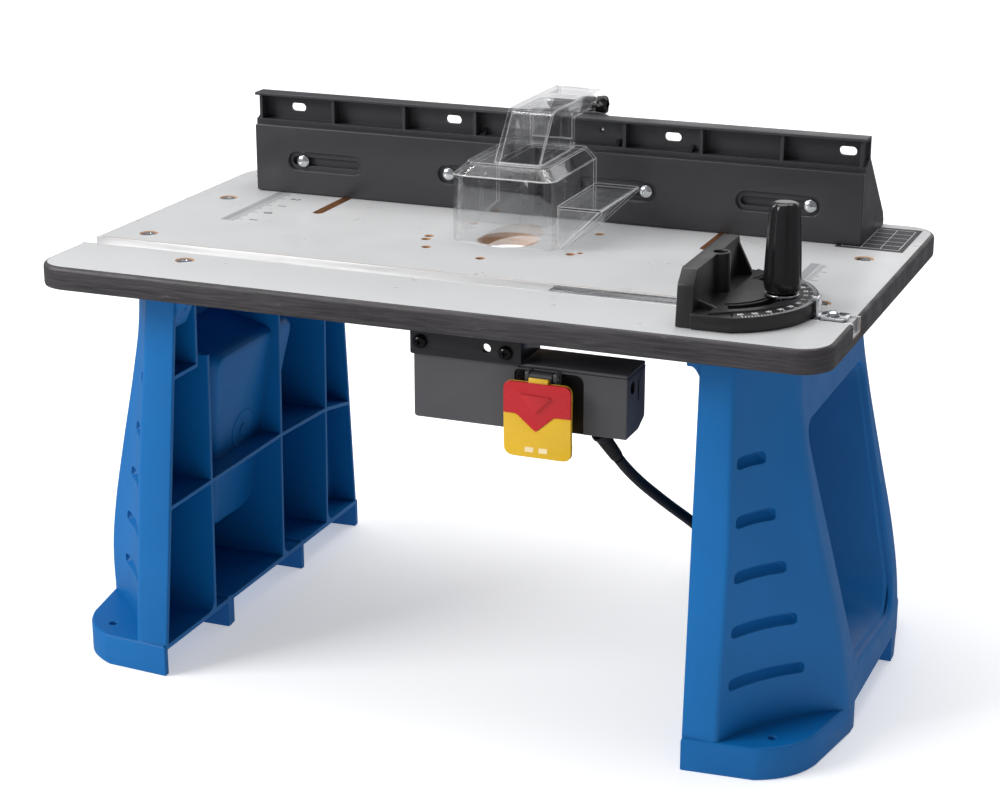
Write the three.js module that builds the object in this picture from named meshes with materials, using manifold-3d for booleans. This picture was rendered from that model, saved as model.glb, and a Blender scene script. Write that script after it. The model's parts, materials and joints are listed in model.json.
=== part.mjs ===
// Bench-top router table with a split fence, a clear bit guard, a miter gauge and a
// safety-paddle switch. Millimetres, +Z up, origin on the floor under the middle of the
// tabletop. +X runs along the fence to the right, +Y runs from the front to the back.

import * as THREE from 'three';
import { mergeVertices } from 'three/addons/utils/BufferGeometryUtils.js';
import Module from 'manifold-3d';

const wasm = await Module();
wasm.setup();

// ---------------------------------------------------------------- driving dimensions

const GAP = 0.3;

const TABLE = { length: 610, depth: 365, thick: 18, top: 325, corner: 25 };
const TABLE_BOTTOM = TABLE.top - TABLE.thick;
// The opening for the bit, and the shallow seat under it that takes the router's base.
const BIT_OPENING = { y: 20, r: 24, seat: 79, seatDepth: 8 };

// The channel for the miter bar runs the full length of the table.
const MITER = { y: -98.75, width: 19.5, wall: 1.2, depth: 10 };

const LEG = {
  inner: 210, top: TABLE_BOTTOM - GAP, wall: 3.5, rib: 3, footHeight: 25,
  frontAtFloor: 175.7, frontLean: 0.1112, innerLean: 0.0124,
};

const FENCE = {
  front: 100, faceThick: 6, faceTop: 382, frameTop: 408.2, left: -263, right: 260,
  base: TABLE.top + 0.5, back: 178, boltZ: 353.1, throatX: -5,
};
const FACE_BOLTS = { left: [-218.4, -85.5], right: [84.9, 218.8] };
const CLAMP = { x: [-177.7, 150.5], y: 152, slotFront: [42, 47], slotBack: 168, width: 8.8 };

// The guard swings about a pin behind the top of the fence.
const GUARD_HINGE = { y: 140, z: 412 };
const BRACKET_SCREWS = { x: [-20, 42], z: 397 };
const GUARD = {
  left: -39, right: 46.5, front: -5, back: 92, bottom: TABLE.top + 0.8, top: 388,
  wall: 2.5, chamfer: 9, armLeft: -7.7, armRight: 30, armTop: 425,
};

const GAUGE = {
  pivotX: 206, radius: 69.5, half: 64.6, plate: 12, face: 193.6, handleX: 251, height: 39,
  screwX: 288,
};

const SWITCH = { front: -164, back: -124, left: 76, right: 161.4, bottom: 239.8, top: 284.3 };
const PADDLE = { left: 74.7, right: 124.9, top: 278, bottom: 224, front: -177.5, hingeZ: 280 };

const CORD_R = 4;
const COIL = { x: 162.5, y: 191, inner: 31.7, outer: 48.3, height: 24 };

// ---------------------------------------------------------------- materials

const FINISHES = {
  laminate: { color: 0xd5d6d6, roughness: 0.45, metalness: 0 },
  aluminium: { color: 0xc9cbcc, roughness: 0.35, metalness: 1 },
  bluePlastic: { color: 0x0c56a6, roughness: 0.42, metalness: 0 },
  blackPlastic: { color: 0x35353a, roughness: 0.5, metalness: 0 },
  gaugeBlack: { color: 0x1d1d20, roughness: 0.45, metalness: 0 },
  zinc: { color: 0xc4c8cc, roughness: 0.25, metalness: 1 },
  steel: { color: 0xb4b6b8, roughness: 0.3, metalness: 1 },
  blackSteel: { color: 0x232428, roughness: 0.4, metalness: 0.6 },
  clear: { color: 0xe8eef2, roughness: 0.05, metalness: 0 },
  yellow: { color: 0xeab92e, roughness: 0.4, metalness: 0 },
  red: { color: 0xc8333a, roughness: 0.4, metalness: 0 },
  green: { color: 0x2e8a4a, roughness: 0.4, metalness: 0 },
  rubber: { color: 0x18191b, roughness: 0.6, metalness: 0 },
};

const table = new THREE.Group();

function geometryOf(solid) {
  const mesh = solid.getMesh();
  const geometry = new THREE.BufferGeometry();
  geometry.setAttribute('position', new THREE.BufferAttribute(mesh.vertProperties, 3));
  geometry.setIndex(new THREE.BufferAttribute(mesh.triVerts, 1));
  geometry.computeVertexNormals();
  return geometry;
}

function addPart(name, shape, finish) {
  const geometry = shape.isBufferGeometry ? shape : geometryOf(shape);
  const mesh = new THREE.Mesh(geometry, new THREE.MeshStandardMaterial(FINISHES[finish]));
  mesh.name = name;
  table.add(mesh);
  return mesh;
}

// ---------------------------------------------------------------- solid helpers

function solidOf(geometry) {
  const bare = geometry.clone();
  bare.deleteAttribute('normal');
  bare.deleteAttribute('uv');
  const merged = mergeVertices(bare, 1e-4);
  return new wasm.Manifold(new wasm.Mesh({
    numProp: 3,
    vertProperties: new Float32Array(merged.attributes.position.array),
    triVerts: new Uint32Array(merged.index.array),
  }));
}

function join(first, ...others) {
  return others.reduce((sum, next) => sum.add(next), first);
}

function cut(first, ...others) {
  return others.reduce((rest, next) => rest.subtract(next), first);
}

function box(x0, x1, y0, y1, z0, z1) {
  const geometry = new THREE.BoxGeometry(x1 - x0, y1 - y0, z1 - z0);
  geometry.translate((x0 + x1) / 2, (y0 + y1) / 2, (z0 + z1) / 2);
  return solidOf(geometry);
}

function cylinder(axis, r, from, to, [a, b], sides = 24, rEnd = r) {
  // A cone or cylinder along an axis. [a, b] is its centre on the other two axes, in X, Y, Z order.
  const geometry = new THREE.CylinderGeometry(rEnd, r, to - from, sides);
  const middle = (from + to) / 2;
  if (axis === 'x') {
    geometry.rotateZ(-Math.PI / 2);
    geometry.translate(middle, a, b);
  } else if (axis === 'y') {
    geometry.translate(a, middle, b);
  } else {
    geometry.rotateX(Math.PI / 2);
    geometry.translate(a, b, middle);
  }
  return solidOf(geometry);
}

function extrude(shape, axis, from, to, options = {}) {
  // Along 'z' the shape is drawn in X, Y; along 'x' in Y, Z; along 'y' in X, Z.
  const settings = { depth: to - from, bevelEnabled: false, curveSegments: 8, ...options };
  const geometry = new THREE.ExtrudeGeometry(shape, settings);
  const X = new THREE.Vector3(1, 0, 0);
  const Y = new THREE.Vector3(0, 1, 0);
  const Z = new THREE.Vector3(0, 0, 1);
  const turn = new THREE.Matrix4();
  if (axis === 'x') turn.makeBasis(Y, Z, X).setPosition(from, 0, 0);
  if (axis === 'y') turn.makeBasis(X, Z, Y.negate()).setPosition(0, to, 0);
  if (axis === 'z') turn.setPosition(0, 0, from);
  geometry.applyMatrix4(turn);
  return solidOf(geometry);
}

function polygon(points) {
  return new THREE.Shape(points.map(([a, b]) => new THREE.Vector2(a, b)));
}

function roundedRect(a0, a1, b0, b1, r) {
  const shape = new THREE.Shape();
  shape.absarc(a1 - r, b0 + r, r, -Math.PI / 2, 0);
  shape.absarc(a1 - r, b1 - r, r, 0, Math.PI / 2);
  shape.absarc(a0 + r, b1 - r, r, Math.PI / 2, Math.PI);
  shape.absarc(a0 + r, b0 + r, r, Math.PI, Math.PI * 1.5);
  return shape;
}

function stadium(a0, a1, b, width) {
  // A slot with round ends, along the first axis of its plane.
  return roundedRect(a0, a1, b - width / 2, b + width / 2, width / 2 - 0.001);
}

function latheGeometry(profile, sides) {
  return new THREE.LatheGeometry(profile.map(([r, h]) => new THREE.Vector2(r, h)), sides);
}

function lathe(profile, sides, x, y, z = 0) {
  // Turned about a vertical axis; profile points are [radius, height].
  const geometry = latheGeometry(profile, sides);
  geometry.rotateX(Math.PI / 2);
  geometry.translate(x, y, z);
  return solidOf(geometry);
}

function latheY(profile, sides, x, y, z) {
  // Turned about an axis along Y; heights run towards the back.
  const geometry = latheGeometry(profile, sides);
  geometry.translate(x, y, z);
  return solidOf(geometry);
}

function loft(rings) {
  // Joins equal-length rings of [x, y, z] points into one closed body with fan caps.
  const count = rings[0].length;
  const positions = rings.flat(2);
  const index = [];
  for (let k = 0; k + 1 < rings.length; k += 1) {
    for (let i = 0; i < count; i += 1) {
      const a = k * count + i;
      const b = k * count + ((i + 1) % count);
      index.push(a, b, b + count, a, b + count, a + count);
    }
  }
  const caps = [[rings[0], 0, true], [rings.at(-1), (rings.length - 1) * count, false]];
  for (const [ring, first, flip] of caps) {
    const centre = positions.length / 3;
    for (const axis of [0, 1, 2]) {
      positions.push(ring.reduce((sum, p) => sum + p[axis], 0) / count);
    }
    for (let i = 0; i < count; i += 1) {
      const a = first + i;
      const b = first + ((i + 1) % count);
      index.push(...(flip ? [centre, b, a] : [centre, a, b]));
    }
  }
  const geometry = new THREE.BufferGeometry();
  geometry.setAttribute('position', new THREE.Float32BufferAttribute(positions, 3));
  geometry.setIndex(index);
  return solidOf(geometry);
}

function mirrorX(geometry) {
  // Mirrors through the YZ plane and turns every face back outwards.
  const copy = geometry.clone();
  copy.scale(-1, 1, 1);
  const index = copy.index.array;
  for (let i = 0; i < index.length; i += 3) {
    const keep = index[i];
    index[i] = index[i + 1];
    index[i + 1] = keep;
  }
  copy.computeVertexNormals();
  return copy;
}

function along(curve, value) {
  // Straight-line value of a curve given as [input, output] points.
  if (value <= curve[0][0]) return curve[0][1];
  for (let i = 1; i < curve.length; i += 1) {
    const [a, va] = curve[i - 1];
    const [b, vb] = curve[i];
    if (value <= b) return va + ((vb - va) * (value - a)) / (b - a);
  }
  return curve.at(-1)[1];
}

// ---------------------------------------------------------------- tabletop and track

const LEG_SCREWS = [[270.9, 66], [270.9, -66], [203.5, 128.7], [203.5, -128.7]];

function allLegScrews() {
  return LEG_SCREWS.flatMap(([x, y]) => [[-x, y], [x, y]]);
}

// Plain holes round the bit opening that take different routers' base screws.
const ROUTER_HOLES = [
  [-50.8, -23.7, 3.3], [-61, -1, 3.3], [-62.5, 8.9, 3.3], [1, -40.4, 3.3],
  [60.1, -3.8, 3.3], [66.1, 1.8, 2], [60.2, 63.2, 3.3], [-46, 60, 3.3],
];

function makeTabletop() {
  const { length, depth, corner, top } = TABLE;
  const outline = roundedRect(-length / 2, length / 2, -depth / 2, depth / 2, corner);
  const slab = extrude(outline, 'z', TABLE_BOTTOM, top, { curveSegments: 6 });
  const below = TABLE_BOTTOM - 1;
  const above = top + 1;
  const half = MITER.width / 2 + MITER.wall + GAP;
  const cuts = [
    box(-length, length, MITER.y - half, MITER.y + half, top - MITER.depth - MITER.wall - GAP, above),
    cylinder('z', BIT_OPENING.r, below, above, [0, BIT_OPENING.y], 32),
    cylinder('z', BIT_OPENING.seat, below, TABLE_BOTTOM + BIT_OPENING.seatDepth, [0, BIT_OPENING.y], 40),
  ];
  for (const [x, y, r] of ROUTER_HOLES) cuts.push(cylinder('z', r, below, above, [x, y], 10));
  for (const [x, y] of allLegScrews()) {
    cuts.push(cylinder('z', 2.9, below, above, [x, y], 8));
    cuts.push(cylinder('z', 2.9, top - 4.5, top + 0.5, [x, y], 12, 7.9));
  }
  CLAMP.x.forEach((x, i) => {
    const w = CLAMP.width / 2;
    cuts.push(box(x - w, x + w, CLAMP.slotFront[i] + w, CLAMP.slotBack - w, below, above));
    cuts.push(cylinder('z', w, below, above, [x, CLAMP.slotFront[i] + w], 12));
    cuts.push(cylinder('z', w, below, above, [x, CLAMP.slotBack - w], 12));
  });
  addPart('tabletop', cut(slab, ...cuts), 'laminate');
}

function makeMiterTrack() {
  const { y, width, wall, depth } = MITER;
  const inner = width / 2;
  const outer = inner + wall;
  const floor = TABLE.top - depth;
  const profile = polygon([
    [y - outer, floor - wall], [y + outer, floor - wall], [y + outer, TABLE.top],
    [y + inner, TABLE.top], [y + inner, floor], [y - inner, floor],
    [y - inner, TABLE.top], [y - outer, TABLE.top],
  ]);
  const end = TABLE.length / 2 - 0.2;
  addPart('miter_track', extrude(profile, 'x', -end, end), 'aluminium');
}

function makeLegScrews() {
  allLegScrews().forEach(([x, y], i) => {
    const top = TABLE.top - 0.3;
    const profile = [
      [0, top - 34], [2.3, top - 32], [2.3, top - 4.6], [6, top - 0.7], [6, top], [0, top],
    ];
    addPart(`leg_screw_${i + 1}`, lathe(profile, 10, x, y), 'zinc');
  });
}

// ---------------------------------------------------------------- legs

// Outer side of the right leg at each height: half depth of the flat side, and its X.
const SIDE_X = [
  [25, 309.4], [65, 305.8], [105, 298.8], [160, 285.9], [220, 273.6], [260, 267.5], [307, 266],
];
const SIDE_HALF = [
  [25, 84.5], [65, 91], [105, 95], [160, 99], [220, 98], [260, 96], [307, 94],
];
const FRONT_X = [[26, 236], [162, 236], [293, 231], [307, 230]];
const SCOOP = [[25, 16], [180, 9], [307, 3]];

function legRing(z, shrink) {
  // One level of the leg, from the inner plane round the front, side and back.
  const y = LEG.frontAtFloor - LEG.frontLean * z - shrink;
  const inner = LEG.inner - LEG.innerLean * z - (shrink ? 20 : 0);
  const front = new THREE.Vector2(along(FRONT_X, z) - shrink * 0.4, -y);
  const sideY = -along(SIDE_HALF, z) + shrink * 0.4;
  const side = new THREE.Vector2(along(SIDE_X, z) - shrink, sideY);
  const middle = front.clone().add(side).multiplyScalar(0.5);
  const inward = new THREE.Vector2(-(side.y - front.y), side.x - front.x).normalize();
  const pull = middle.addScaledVector(inward, along(SCOOP, z));
  const curve = new THREE.QuadraticBezierCurve(front, pull, side).getPoints(4);
  const half = [[inner, -y], ...curve.map((p) => [p.x, p.y])];
  const other = half.map(([a, b]) => [a, -b]).reverse();
  return [...half, ...other].map(([a, b]) => [a, b, z]);
}

function makeLegBody() {
  const levels = [LEG.footHeight - 3.5, 65, 105, 160, 220, 260, LEG.top];
  const outer = loft(levels.map((z) => legRing(z, 0)));
  const hollowLevels = [LEG.footHeight, 65, 105, 160, 220, 260, LEG.top - 4];
  const hollow = loft(hollowLevels.map((z) => legRing(z, LEG.wall)));
  return { outer, shell: cut(outer, hollow) };
}

// Round-cornered side pocket: its mouth on the outer side, its floor near the inner plane.
function pocketRing(x, grow, reach) {
  const lerp = THREE.MathUtils.lerp;
  const corners = [
    { y: -lerp(36, 56, reach), z: lerp(72, 50, reach), r: 10 },
    { y: lerp(36, 66, reach), z: lerp(72, 42, reach), r: 26 },
    { y: lerp(66, 85, reach), z: lerp(226, 240, reach), r: 14 },
    { y: -lerp(66, 85, reach), z: lerp(226, 240, reach), r: 14 },
  ];
  const ring = [];
  corners.forEach((corner, i) => {
    const before = corners[(i + 3) % 4];
    const after = corners[(i + 1) % 4];
    const here = new THREE.Vector2(corner.y, corner.z);
    const back = new THREE.Vector2(before.y, before.z).sub(here).normalize();
    const ahead = new THREE.Vector2(after.y, after.z).sub(here).normalize();
    const start = here.clone().addScaledVector(back, corner.r);
    const end = here.clone().addScaledVector(ahead, corner.r);
    ring.push(...new THREE.QuadraticBezierCurve(start, here, end).getPoints(3));
  });
  const centre = new THREE.Vector2(0, 150);
  return ring.map((p) => {
    const out = p.clone().sub(centre);
    const q = centre.clone().addScaledVector(out, 1 + grow / out.length());
    return [x(q.y), q.x, q.y];
  });
}

function makePocket(grow) {
  // The floor slopes: further out at the bottom than at the top.
  const floor = (z) => 216 + (228 - z) * 0.171 - grow;
  const mouth = (z) => along(SIDE_X, z) + 1;
  const past = (z) => along(SIDE_X, z) + 14;
  return loft([
    pocketRing(floor, grow, 0), pocketRing(mouth, grow, 1), pocketRing(past, grow, 1.2),
  ]);
}

function makeLegRibs() {
  const x0 = 205;
  const x1 = 320;
  const rib = (y, z0, z1) => box(x0, x1, y - LEG.rib / 2, y + LEG.rib / 2, z0, z1);
  const shelf = polygon([
    [-170, 133], [28, 133], [113, 129], [170, 119], [170, 122], [113, 132], [28, 136], [-170, 136],
  ]);
  const ribs = [
    rib(-93, 24, 240), rib(28, 24, 240), rib(113, 24, 240),
    extrude(shelf, 'x', x0, x1),
    rib(-111, 236, LEG.top), rib(111, 236, LEG.top),
    box(x0, x1, -160, -109.5, 235, 238), box(x0, x1, 109.5, 160, 235, 238),
  ];
  return join(...ribs);
}

function footOutline(inset) {
  const edge = 175.5 - inset;
  const inner = inset ? 200 : LEG.inner;
  const shape = new THREE.Shape();
  shape.moveTo(inner, -edge);
  shape.lineTo(263 - inset, -172 + inset);
  shape.quadraticCurveTo(291 - inset, -161 + inset, 299 - inset, -132 + inset);
  shape.lineTo(309.5 - inset, -73 + inset * 0.2);
  shape.lineTo(309.5 - inset, -62 - inset);
  shape.lineTo(inner, -62 - inset);
  return shape;
}

function makeFoot() {
  const top = LEG.footHeight;
  const block = extrude(footOutline(0), 'z', 0, top);
  const hollow = extrude(footOutline(4), 'z', -1, top - 4);
  const screwHole = cylinder('z', 3.3, -1, top + 1, [270.8, -150], 10);
  return cut(block, hollow, screwHole);
}

function makeLegSlots() {
  // Five arched grip slots across each scooped panel, longer towards the floor.
  const rows = [[225, 27], [183, 36], [143, 46], [103, 57], [64, 66]];
  const cuts = [];
  for (const [z, length] of rows) {
    const y = LEG.frontAtFloor - LEG.frontLean * z;
    const a = new THREE.Vector2(along(FRONT_X, z), -y);
    const b = new THREE.Vector2(along(SIDE_X, z), -along(SIDE_HALF, z));
    const run = b.clone().sub(a);
    const angle = Math.atan2(run.y, run.x);
    const slot = new THREE.ExtrudeGeometry(roundedRect(-length / 2, length / 2, -4.5, 4.5, 4.4), {
      depth: 9, bevelEnabled: false, curveSegments: 1,
    });
    slot.rotateX(Math.PI / 2);
    slot.translate(0, 4.5, 0);
    slot.rotateZ(angle);
    const depth = along(SCOOP, z) / 2 + 1.2;
    const middle = a.clone().add(run.multiplyScalar(0.06 + (0.5 * length) / run.length()));
    const into = new THREE.Vector2(-Math.sin(angle), Math.cos(angle));
    into.multiplyScalar(depth * 0.72 - 4.5);
    slot.translate(middle.x + into.x, middle.y + into.y, z);
    cuts.push(solidOf(slot));
  }
  return cuts;
}

function mirrorY(geometry) {
  const copy = geometry.clone();
  copy.rotateZ(Math.PI);
  return mirrorX(copy);
}

function makeLegs() {
  const { outer, shell } = makeLegBody();
  const pocketWall = makePocket(LEG.rib).intersect(outer);
  const hollowPocket = makePocket(0);
  const ribs = makeLegRibs().intersect(outer);
  const topFlange = box(209, 283, -92, 92, LEG.top - 6, LEG.top);
  const foot = makeFoot();
  const footBack = solidOf(mirrorY(geometryOf(foot)));
  const tab = polygon([
    [196.5, LEG.top], [211, LEG.top], [211, LEG.top - 32], [206, LEG.top - 20], [196.5, LEG.top - 15],
  ]);
  const tabFront = extrude(tab, 'y', -141, -118);
  const tabBack = extrude(tab, 'y', 118, 141);
  const midPlates = join(
    box(LEG.inner, 237, -72, -66, 0, 26), box(LEG.inner, 237, 61, 66, 0, 26),
  );
  let leg = join(shell, pocketWall, ribs, topFlange, foot, footBack, tabFront, tabBack, midPlates);
  leg = leg.subtract(hollowPocket);
  const slots = makeLegSlots();
  const slotsBack = slots.map((slot) => solidOf(mirrorY(geometryOf(slot))));
  leg = cut(leg, ...slots, ...slotsBack);
  for (const [x, y] of LEG_SCREWS) {
    leg = leg.subtract(cylinder('z', 2.9, 270, LEG.top + 1, [x, y], 8));
  }
  const geometry = geometryOf(leg);
  addPart('leg_right', geometry, 'bluePlastic');
  addPart('leg_left', mirrorX(geometry), 'bluePlastic');
}

// ---------------------------------------------------------------- fence

const RIBS_X = [-259, -192, -127.4, -64.2, 64.4, 128, 193.2, 256];
const OVALS_X = [-229, -87, 101.5, 242.7];

function makeFenceFrame() {
  const { left, right, base, frameTop, back, throatX } = FENCE;
  const wallFront = FENCE.front + FENCE.faceThick + GAP;
  const wallBack = 120;
  const solids = [
    box(left, right, wallFront, wallFront + 6, base, 386),
    box(left, right, wallFront, wallBack, 381, 386),
    box(left, right, wallBack - 3, wallBack, 381, frameTop),
    box(left, right, 104, wallBack, frameTop - 2.4, frameTop),
    box(left, right, wallFront, back, base, base + 5),
  ];
  for (const x of RIBS_X) {
    solids.push(box(x - 1.3, x + 1.3, wallFront, wallBack, 385, frameTop - 1));
  }
  const gusset = polygon([
    [wallFront + 2, base + 2], [back - 0.5, base + 2], [back - 1.5, base + 9],
    [wallBack - 1, 392], [wallFront + 2, 386],
  ]);
  for (const x of [left + 1.6, -128, -58, 57, 118, right - 1.6]) {
    solids.push(extrude(gusset, 'x', x - 1.6, x + 1.6));
  }
  const throat = new THREE.Shape();
  throat.moveTo(throatX - 30, base - 1);
  throat.lineTo(throatX + 30, base - 1);
  throat.lineTo(throatX + 30, 350);
  throat.absarc(throatX, 346, 30, 0.12, Math.PI - 0.12);
  const cuts = [
    extrude(throat, 'y', wallFront - 1, 136),
  ];
  for (const x of [...FACE_BOLTS.left, ...FACE_BOLTS.right]) {
    cuts.push(cylinder('y', 3.4, wallFront - 1, wallFront + 8, [x, FENCE.boltZ], 10));
  }
  for (const x of OVALS_X) {
    const oval = stadium(x - 7, x + 7, 395.5, 7);
    cuts.push(extrude(oval, 'y', wallBack - 5, wallBack + 2, { curveSegments: 3 }));
  }
  for (const x of CLAMP.x) {
    cuts.push(cylinder('z', 4.2, base - 1, base + 7, [x, CLAMP.y], 12));
  }
  for (const x of BRACKET_SCREWS.x) {
    cuts.push(cylinder('y', 2, wallBack - 4, wallBack + 1, [x, BRACKET_SCREWS.z], 10));
  }
  addPart('fence_frame', cut(join(...solids), ...cuts), 'blackPlastic');
}

function makeFenceFace(name, x0, x1, slots) {
  const { front, faceThick, faceTop, boltZ } = FENCE;
  const base = FENCE.base + 0.2;
  const outline = roundedRect(x0, x1, base, faceTop, 1.5);
  const board = extrude(outline, 'y', front, front + faceThick, { curveSegments: 1 });
  const cuts = [];
  for (const [s0, s1] of slots) {
    const recess = stadium(s0, s1, boltZ, 15.4);
    const through = stadium(s0 + 3, s1 - 3, boltZ, 7.4);
    cuts.push(extrude(recess, 'y', front - 1, front + 2.8, { curveSegments: 4 }));
    cuts.push(extrude(through, 'y', front, front + 8, { curveSegments: 2 }));
  }
  addPart(name, cut(board, ...cuts), 'blackPlastic');
}

function knobShape(radius, lobes) {
  // A scalloped hand knob seen along its axis.
  const shape = new THREE.Shape();
  const steps = lobes * 4;
  for (let i = 0; i < steps; i += 1) {
    const turn = (i / steps) * Math.PI * 2;
    const r = radius * (0.9 + 0.1 * Math.cos(lobes * turn));
    const method = i ? 'lineTo' : 'moveTo';
    shape[method](r * Math.cos(turn), r * Math.sin(turn));
  }
  return shape;
}

function makeFaceBolts() {
  const floor = FENCE.front + 2.8 - GAP;
  const xs = [...FACE_BOLTS.left, ...FACE_BOLTS.right];
  xs.forEach((x, i) => {
    const profile = [[0, 0], [3.4, 0.7], [5.7, 2.6], [5.7, 3.6], [2.9, 3.6], [2.9, 24], [0, 24]];
    addPart(`face_bolt_${i + 1}`, latheY(profile, 10, x, floor - 3.6, FENCE.boltZ), 'zinc');
    const y = FENCE.front + FENCE.faceThick + GAP + 6 + GAP;
    const head = new THREE.ExtrudeGeometry(knobShape(11.5, 6), { depth: 10, bevelEnabled: false });
    head.rotateX(-Math.PI / 2);
    head.translate(x, y + 5, FENCE.boltZ);
    const hub = cylinder('y', 7, y, y + 6, [x, FENCE.boltZ], 12);
    const bore = cylinder('y', 3.2, y - 1, y + 13, [x, FENCE.boltZ], 10);
    addPart(`face_knob_${i + 1}`, cut(join(solidOf(head), hub), bore), 'gaugeBlack');
  });
}

function makeFenceClamps() {
  CLAMP.x.forEach((x, i) => {
    const head = TABLE_BOTTOM - GAP;
    const profile = [
      [0, head - 4], [6, head - 3.2], [9, head - 1], [9, head], [3.8, head], [3.8, 349], [0, 349],
    ];
    addPart(`clamp_bolt_${i + 1}`, lathe(profile, 12, x, CLAMP.y), 'zinc');
    const z = FENCE.base + 5 + GAP;
    const star = new THREE.ExtrudeGeometry(knobShape(19, 5), { depth: 13, bevelEnabled: false });
    star.translate(x, CLAMP.y, z + 8);
    const hub = cylinder('z', 10, z, z + 9, [x, CLAMP.y], 14);
    const bore = cylinder('z', 4.1, z - 1, z + 19, [x, CLAMP.y], 12);
    addPart(`clamp_knob_${i + 1}`, cut(join(solidOf(star), hub), bore), 'gaugeBlack');
  });
}

function makeDustHood() {
  // Hollow hood behind the throat, ending in a round spigot for a vacuum hose.
  const x = FENCE.throatX;
  const front = 120 + GAP;
  const floor = FENCE.base + 5 + GAP;
  const centre = [x, 359];
  const shell = join(
    box(x - 38, x + 38, front, 146, floor, 382),
    cylinder('y', 24, 145, 176, centre, 24),
  );
  const hollow = join(
    box(x - 30, x + 30, front - 1, 143, floor + 3, 379),
    cylinder('y', 21.5, 142, 177, centre, 24),
  );
  addPart('dust_hood', cut(shell, hollow), 'blackPlastic');
}

// ---------------------------------------------------------------- guard

function guardBoxRing(z, inset) {
  // Level outline of the guard box with rounded front corners, open ends kept square.
  const { left, right, front, back } = GUARD;
  const r = 9;
  const x0 = left + inset;
  const x1 = right - inset;
  const y0 = front + inset;
  const ring = [];
  for (let i = 0; i <= 4; i += 1) {
    const t = Math.PI + (i / 4) * (Math.PI / 2);
    ring.push([x0 + r + r * Math.cos(t), y0 + r + r * Math.sin(t), z]);
  }
  for (let i = 0; i <= 4; i += 1) {
    const t = Math.PI * 1.5 + (i / 4) * (Math.PI / 2);
    ring.push([x1 - r + r * Math.cos(t), y0 + r + r * Math.sin(t), z]);
  }
  ring.push([x1, back, z], [x0, back, z]);
  return ring;
}

function makeGuard() {
  const { left, right, front, back, bottom, top, wall, chamfer, armLeft, armRight, armTop } = GUARD;
  const shoulder = top - chamfer;
  const outer = loft([
    guardBoxRing(bottom, 0), guardBoxRing(shoulder, 0), guardBoxRing(top, chamfer),
  ]);
  let inner = loft([
    guardBoxRing(bottom - 5, wall), guardBoxRing(shoulder - 1, wall),
    guardBoxRing(top - wall, chamfer + 1),
  ]);
  const inset = chamfer + 1;
  inner = join(
    inner,
    box(left + wall, right - wall, back - 10, back + 10, bottom - 5, shoulder - 1),
    box(left + inset, right - inset, back - 10, back + 10, shoulder - 5, top - wall),
  );
  // The side walls' lower edges rise towards the fence.
  const rise = polygon([
    [front + 12, bottom - 2], [back + 2, bottom - 2], [back + 2, 337], [front + 12, bottom],
  ]);
  const shell = cut(outer, inner, extrude(rise, 'x', left - 5, right + 5));
  const towerOuter = polygon([
    [9, top - 1], [40, armTop], [146, armTop], [149, armTop - 4], [149, 414], [143, 403.5],
    [137, 403.5], [131, 411], [86, 411], [86, top - 1],
  ]);
  const towerInner = polygon([
    [12.2, top - 4], [41.4, armTop - wall], [150, armTop - wall],
    [150, 400], [83.5, 400], [83.5, top - 4],
  ]);
  const tower = cut(
    extrude(towerOuter, 'x', armLeft, armRight),
    extrude(towerInner, 'x', armLeft + wall, armRight - wall),
    box(armLeft + wall, armRight - wall, 80, 155, 395, armTop - wall),
  );
  const opening = extrude(
    polygon([[12.2, top - 4], [13.4, top + 1], [83.5, top + 1], [83.5, top - 4]]),
    'x', armLeft + wall, armRight - wall,
  );
  const shelf = box(right - 1, 82, 4, back, 356.8, 359.3);
  const skirt = extrude(
    polygon([[82, 359.3], [82, 355.8], [51.5, bottom], [48, bottom]]), 'y', 4, back,
  );
  const frontCheek = extrude(
    polygon([[right - 1, 359.3], [81, 359.3], [48.6, bottom], [right - 1, bottom]]), 'y', 4, 6.5,
  );
  const hinge = [GUARD_HINGE.y, GUARD_HINGE.z];
  const pinHole = cylinder('x', 2.8, armLeft - 5, armRight + 5, hinge, 12);
  const guard = join(cut(shell, opening), tower, shelf, skirt, frontCheek);
  addPart('bit_guard', cut(guard, pinHole), 'clear');
}

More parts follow.
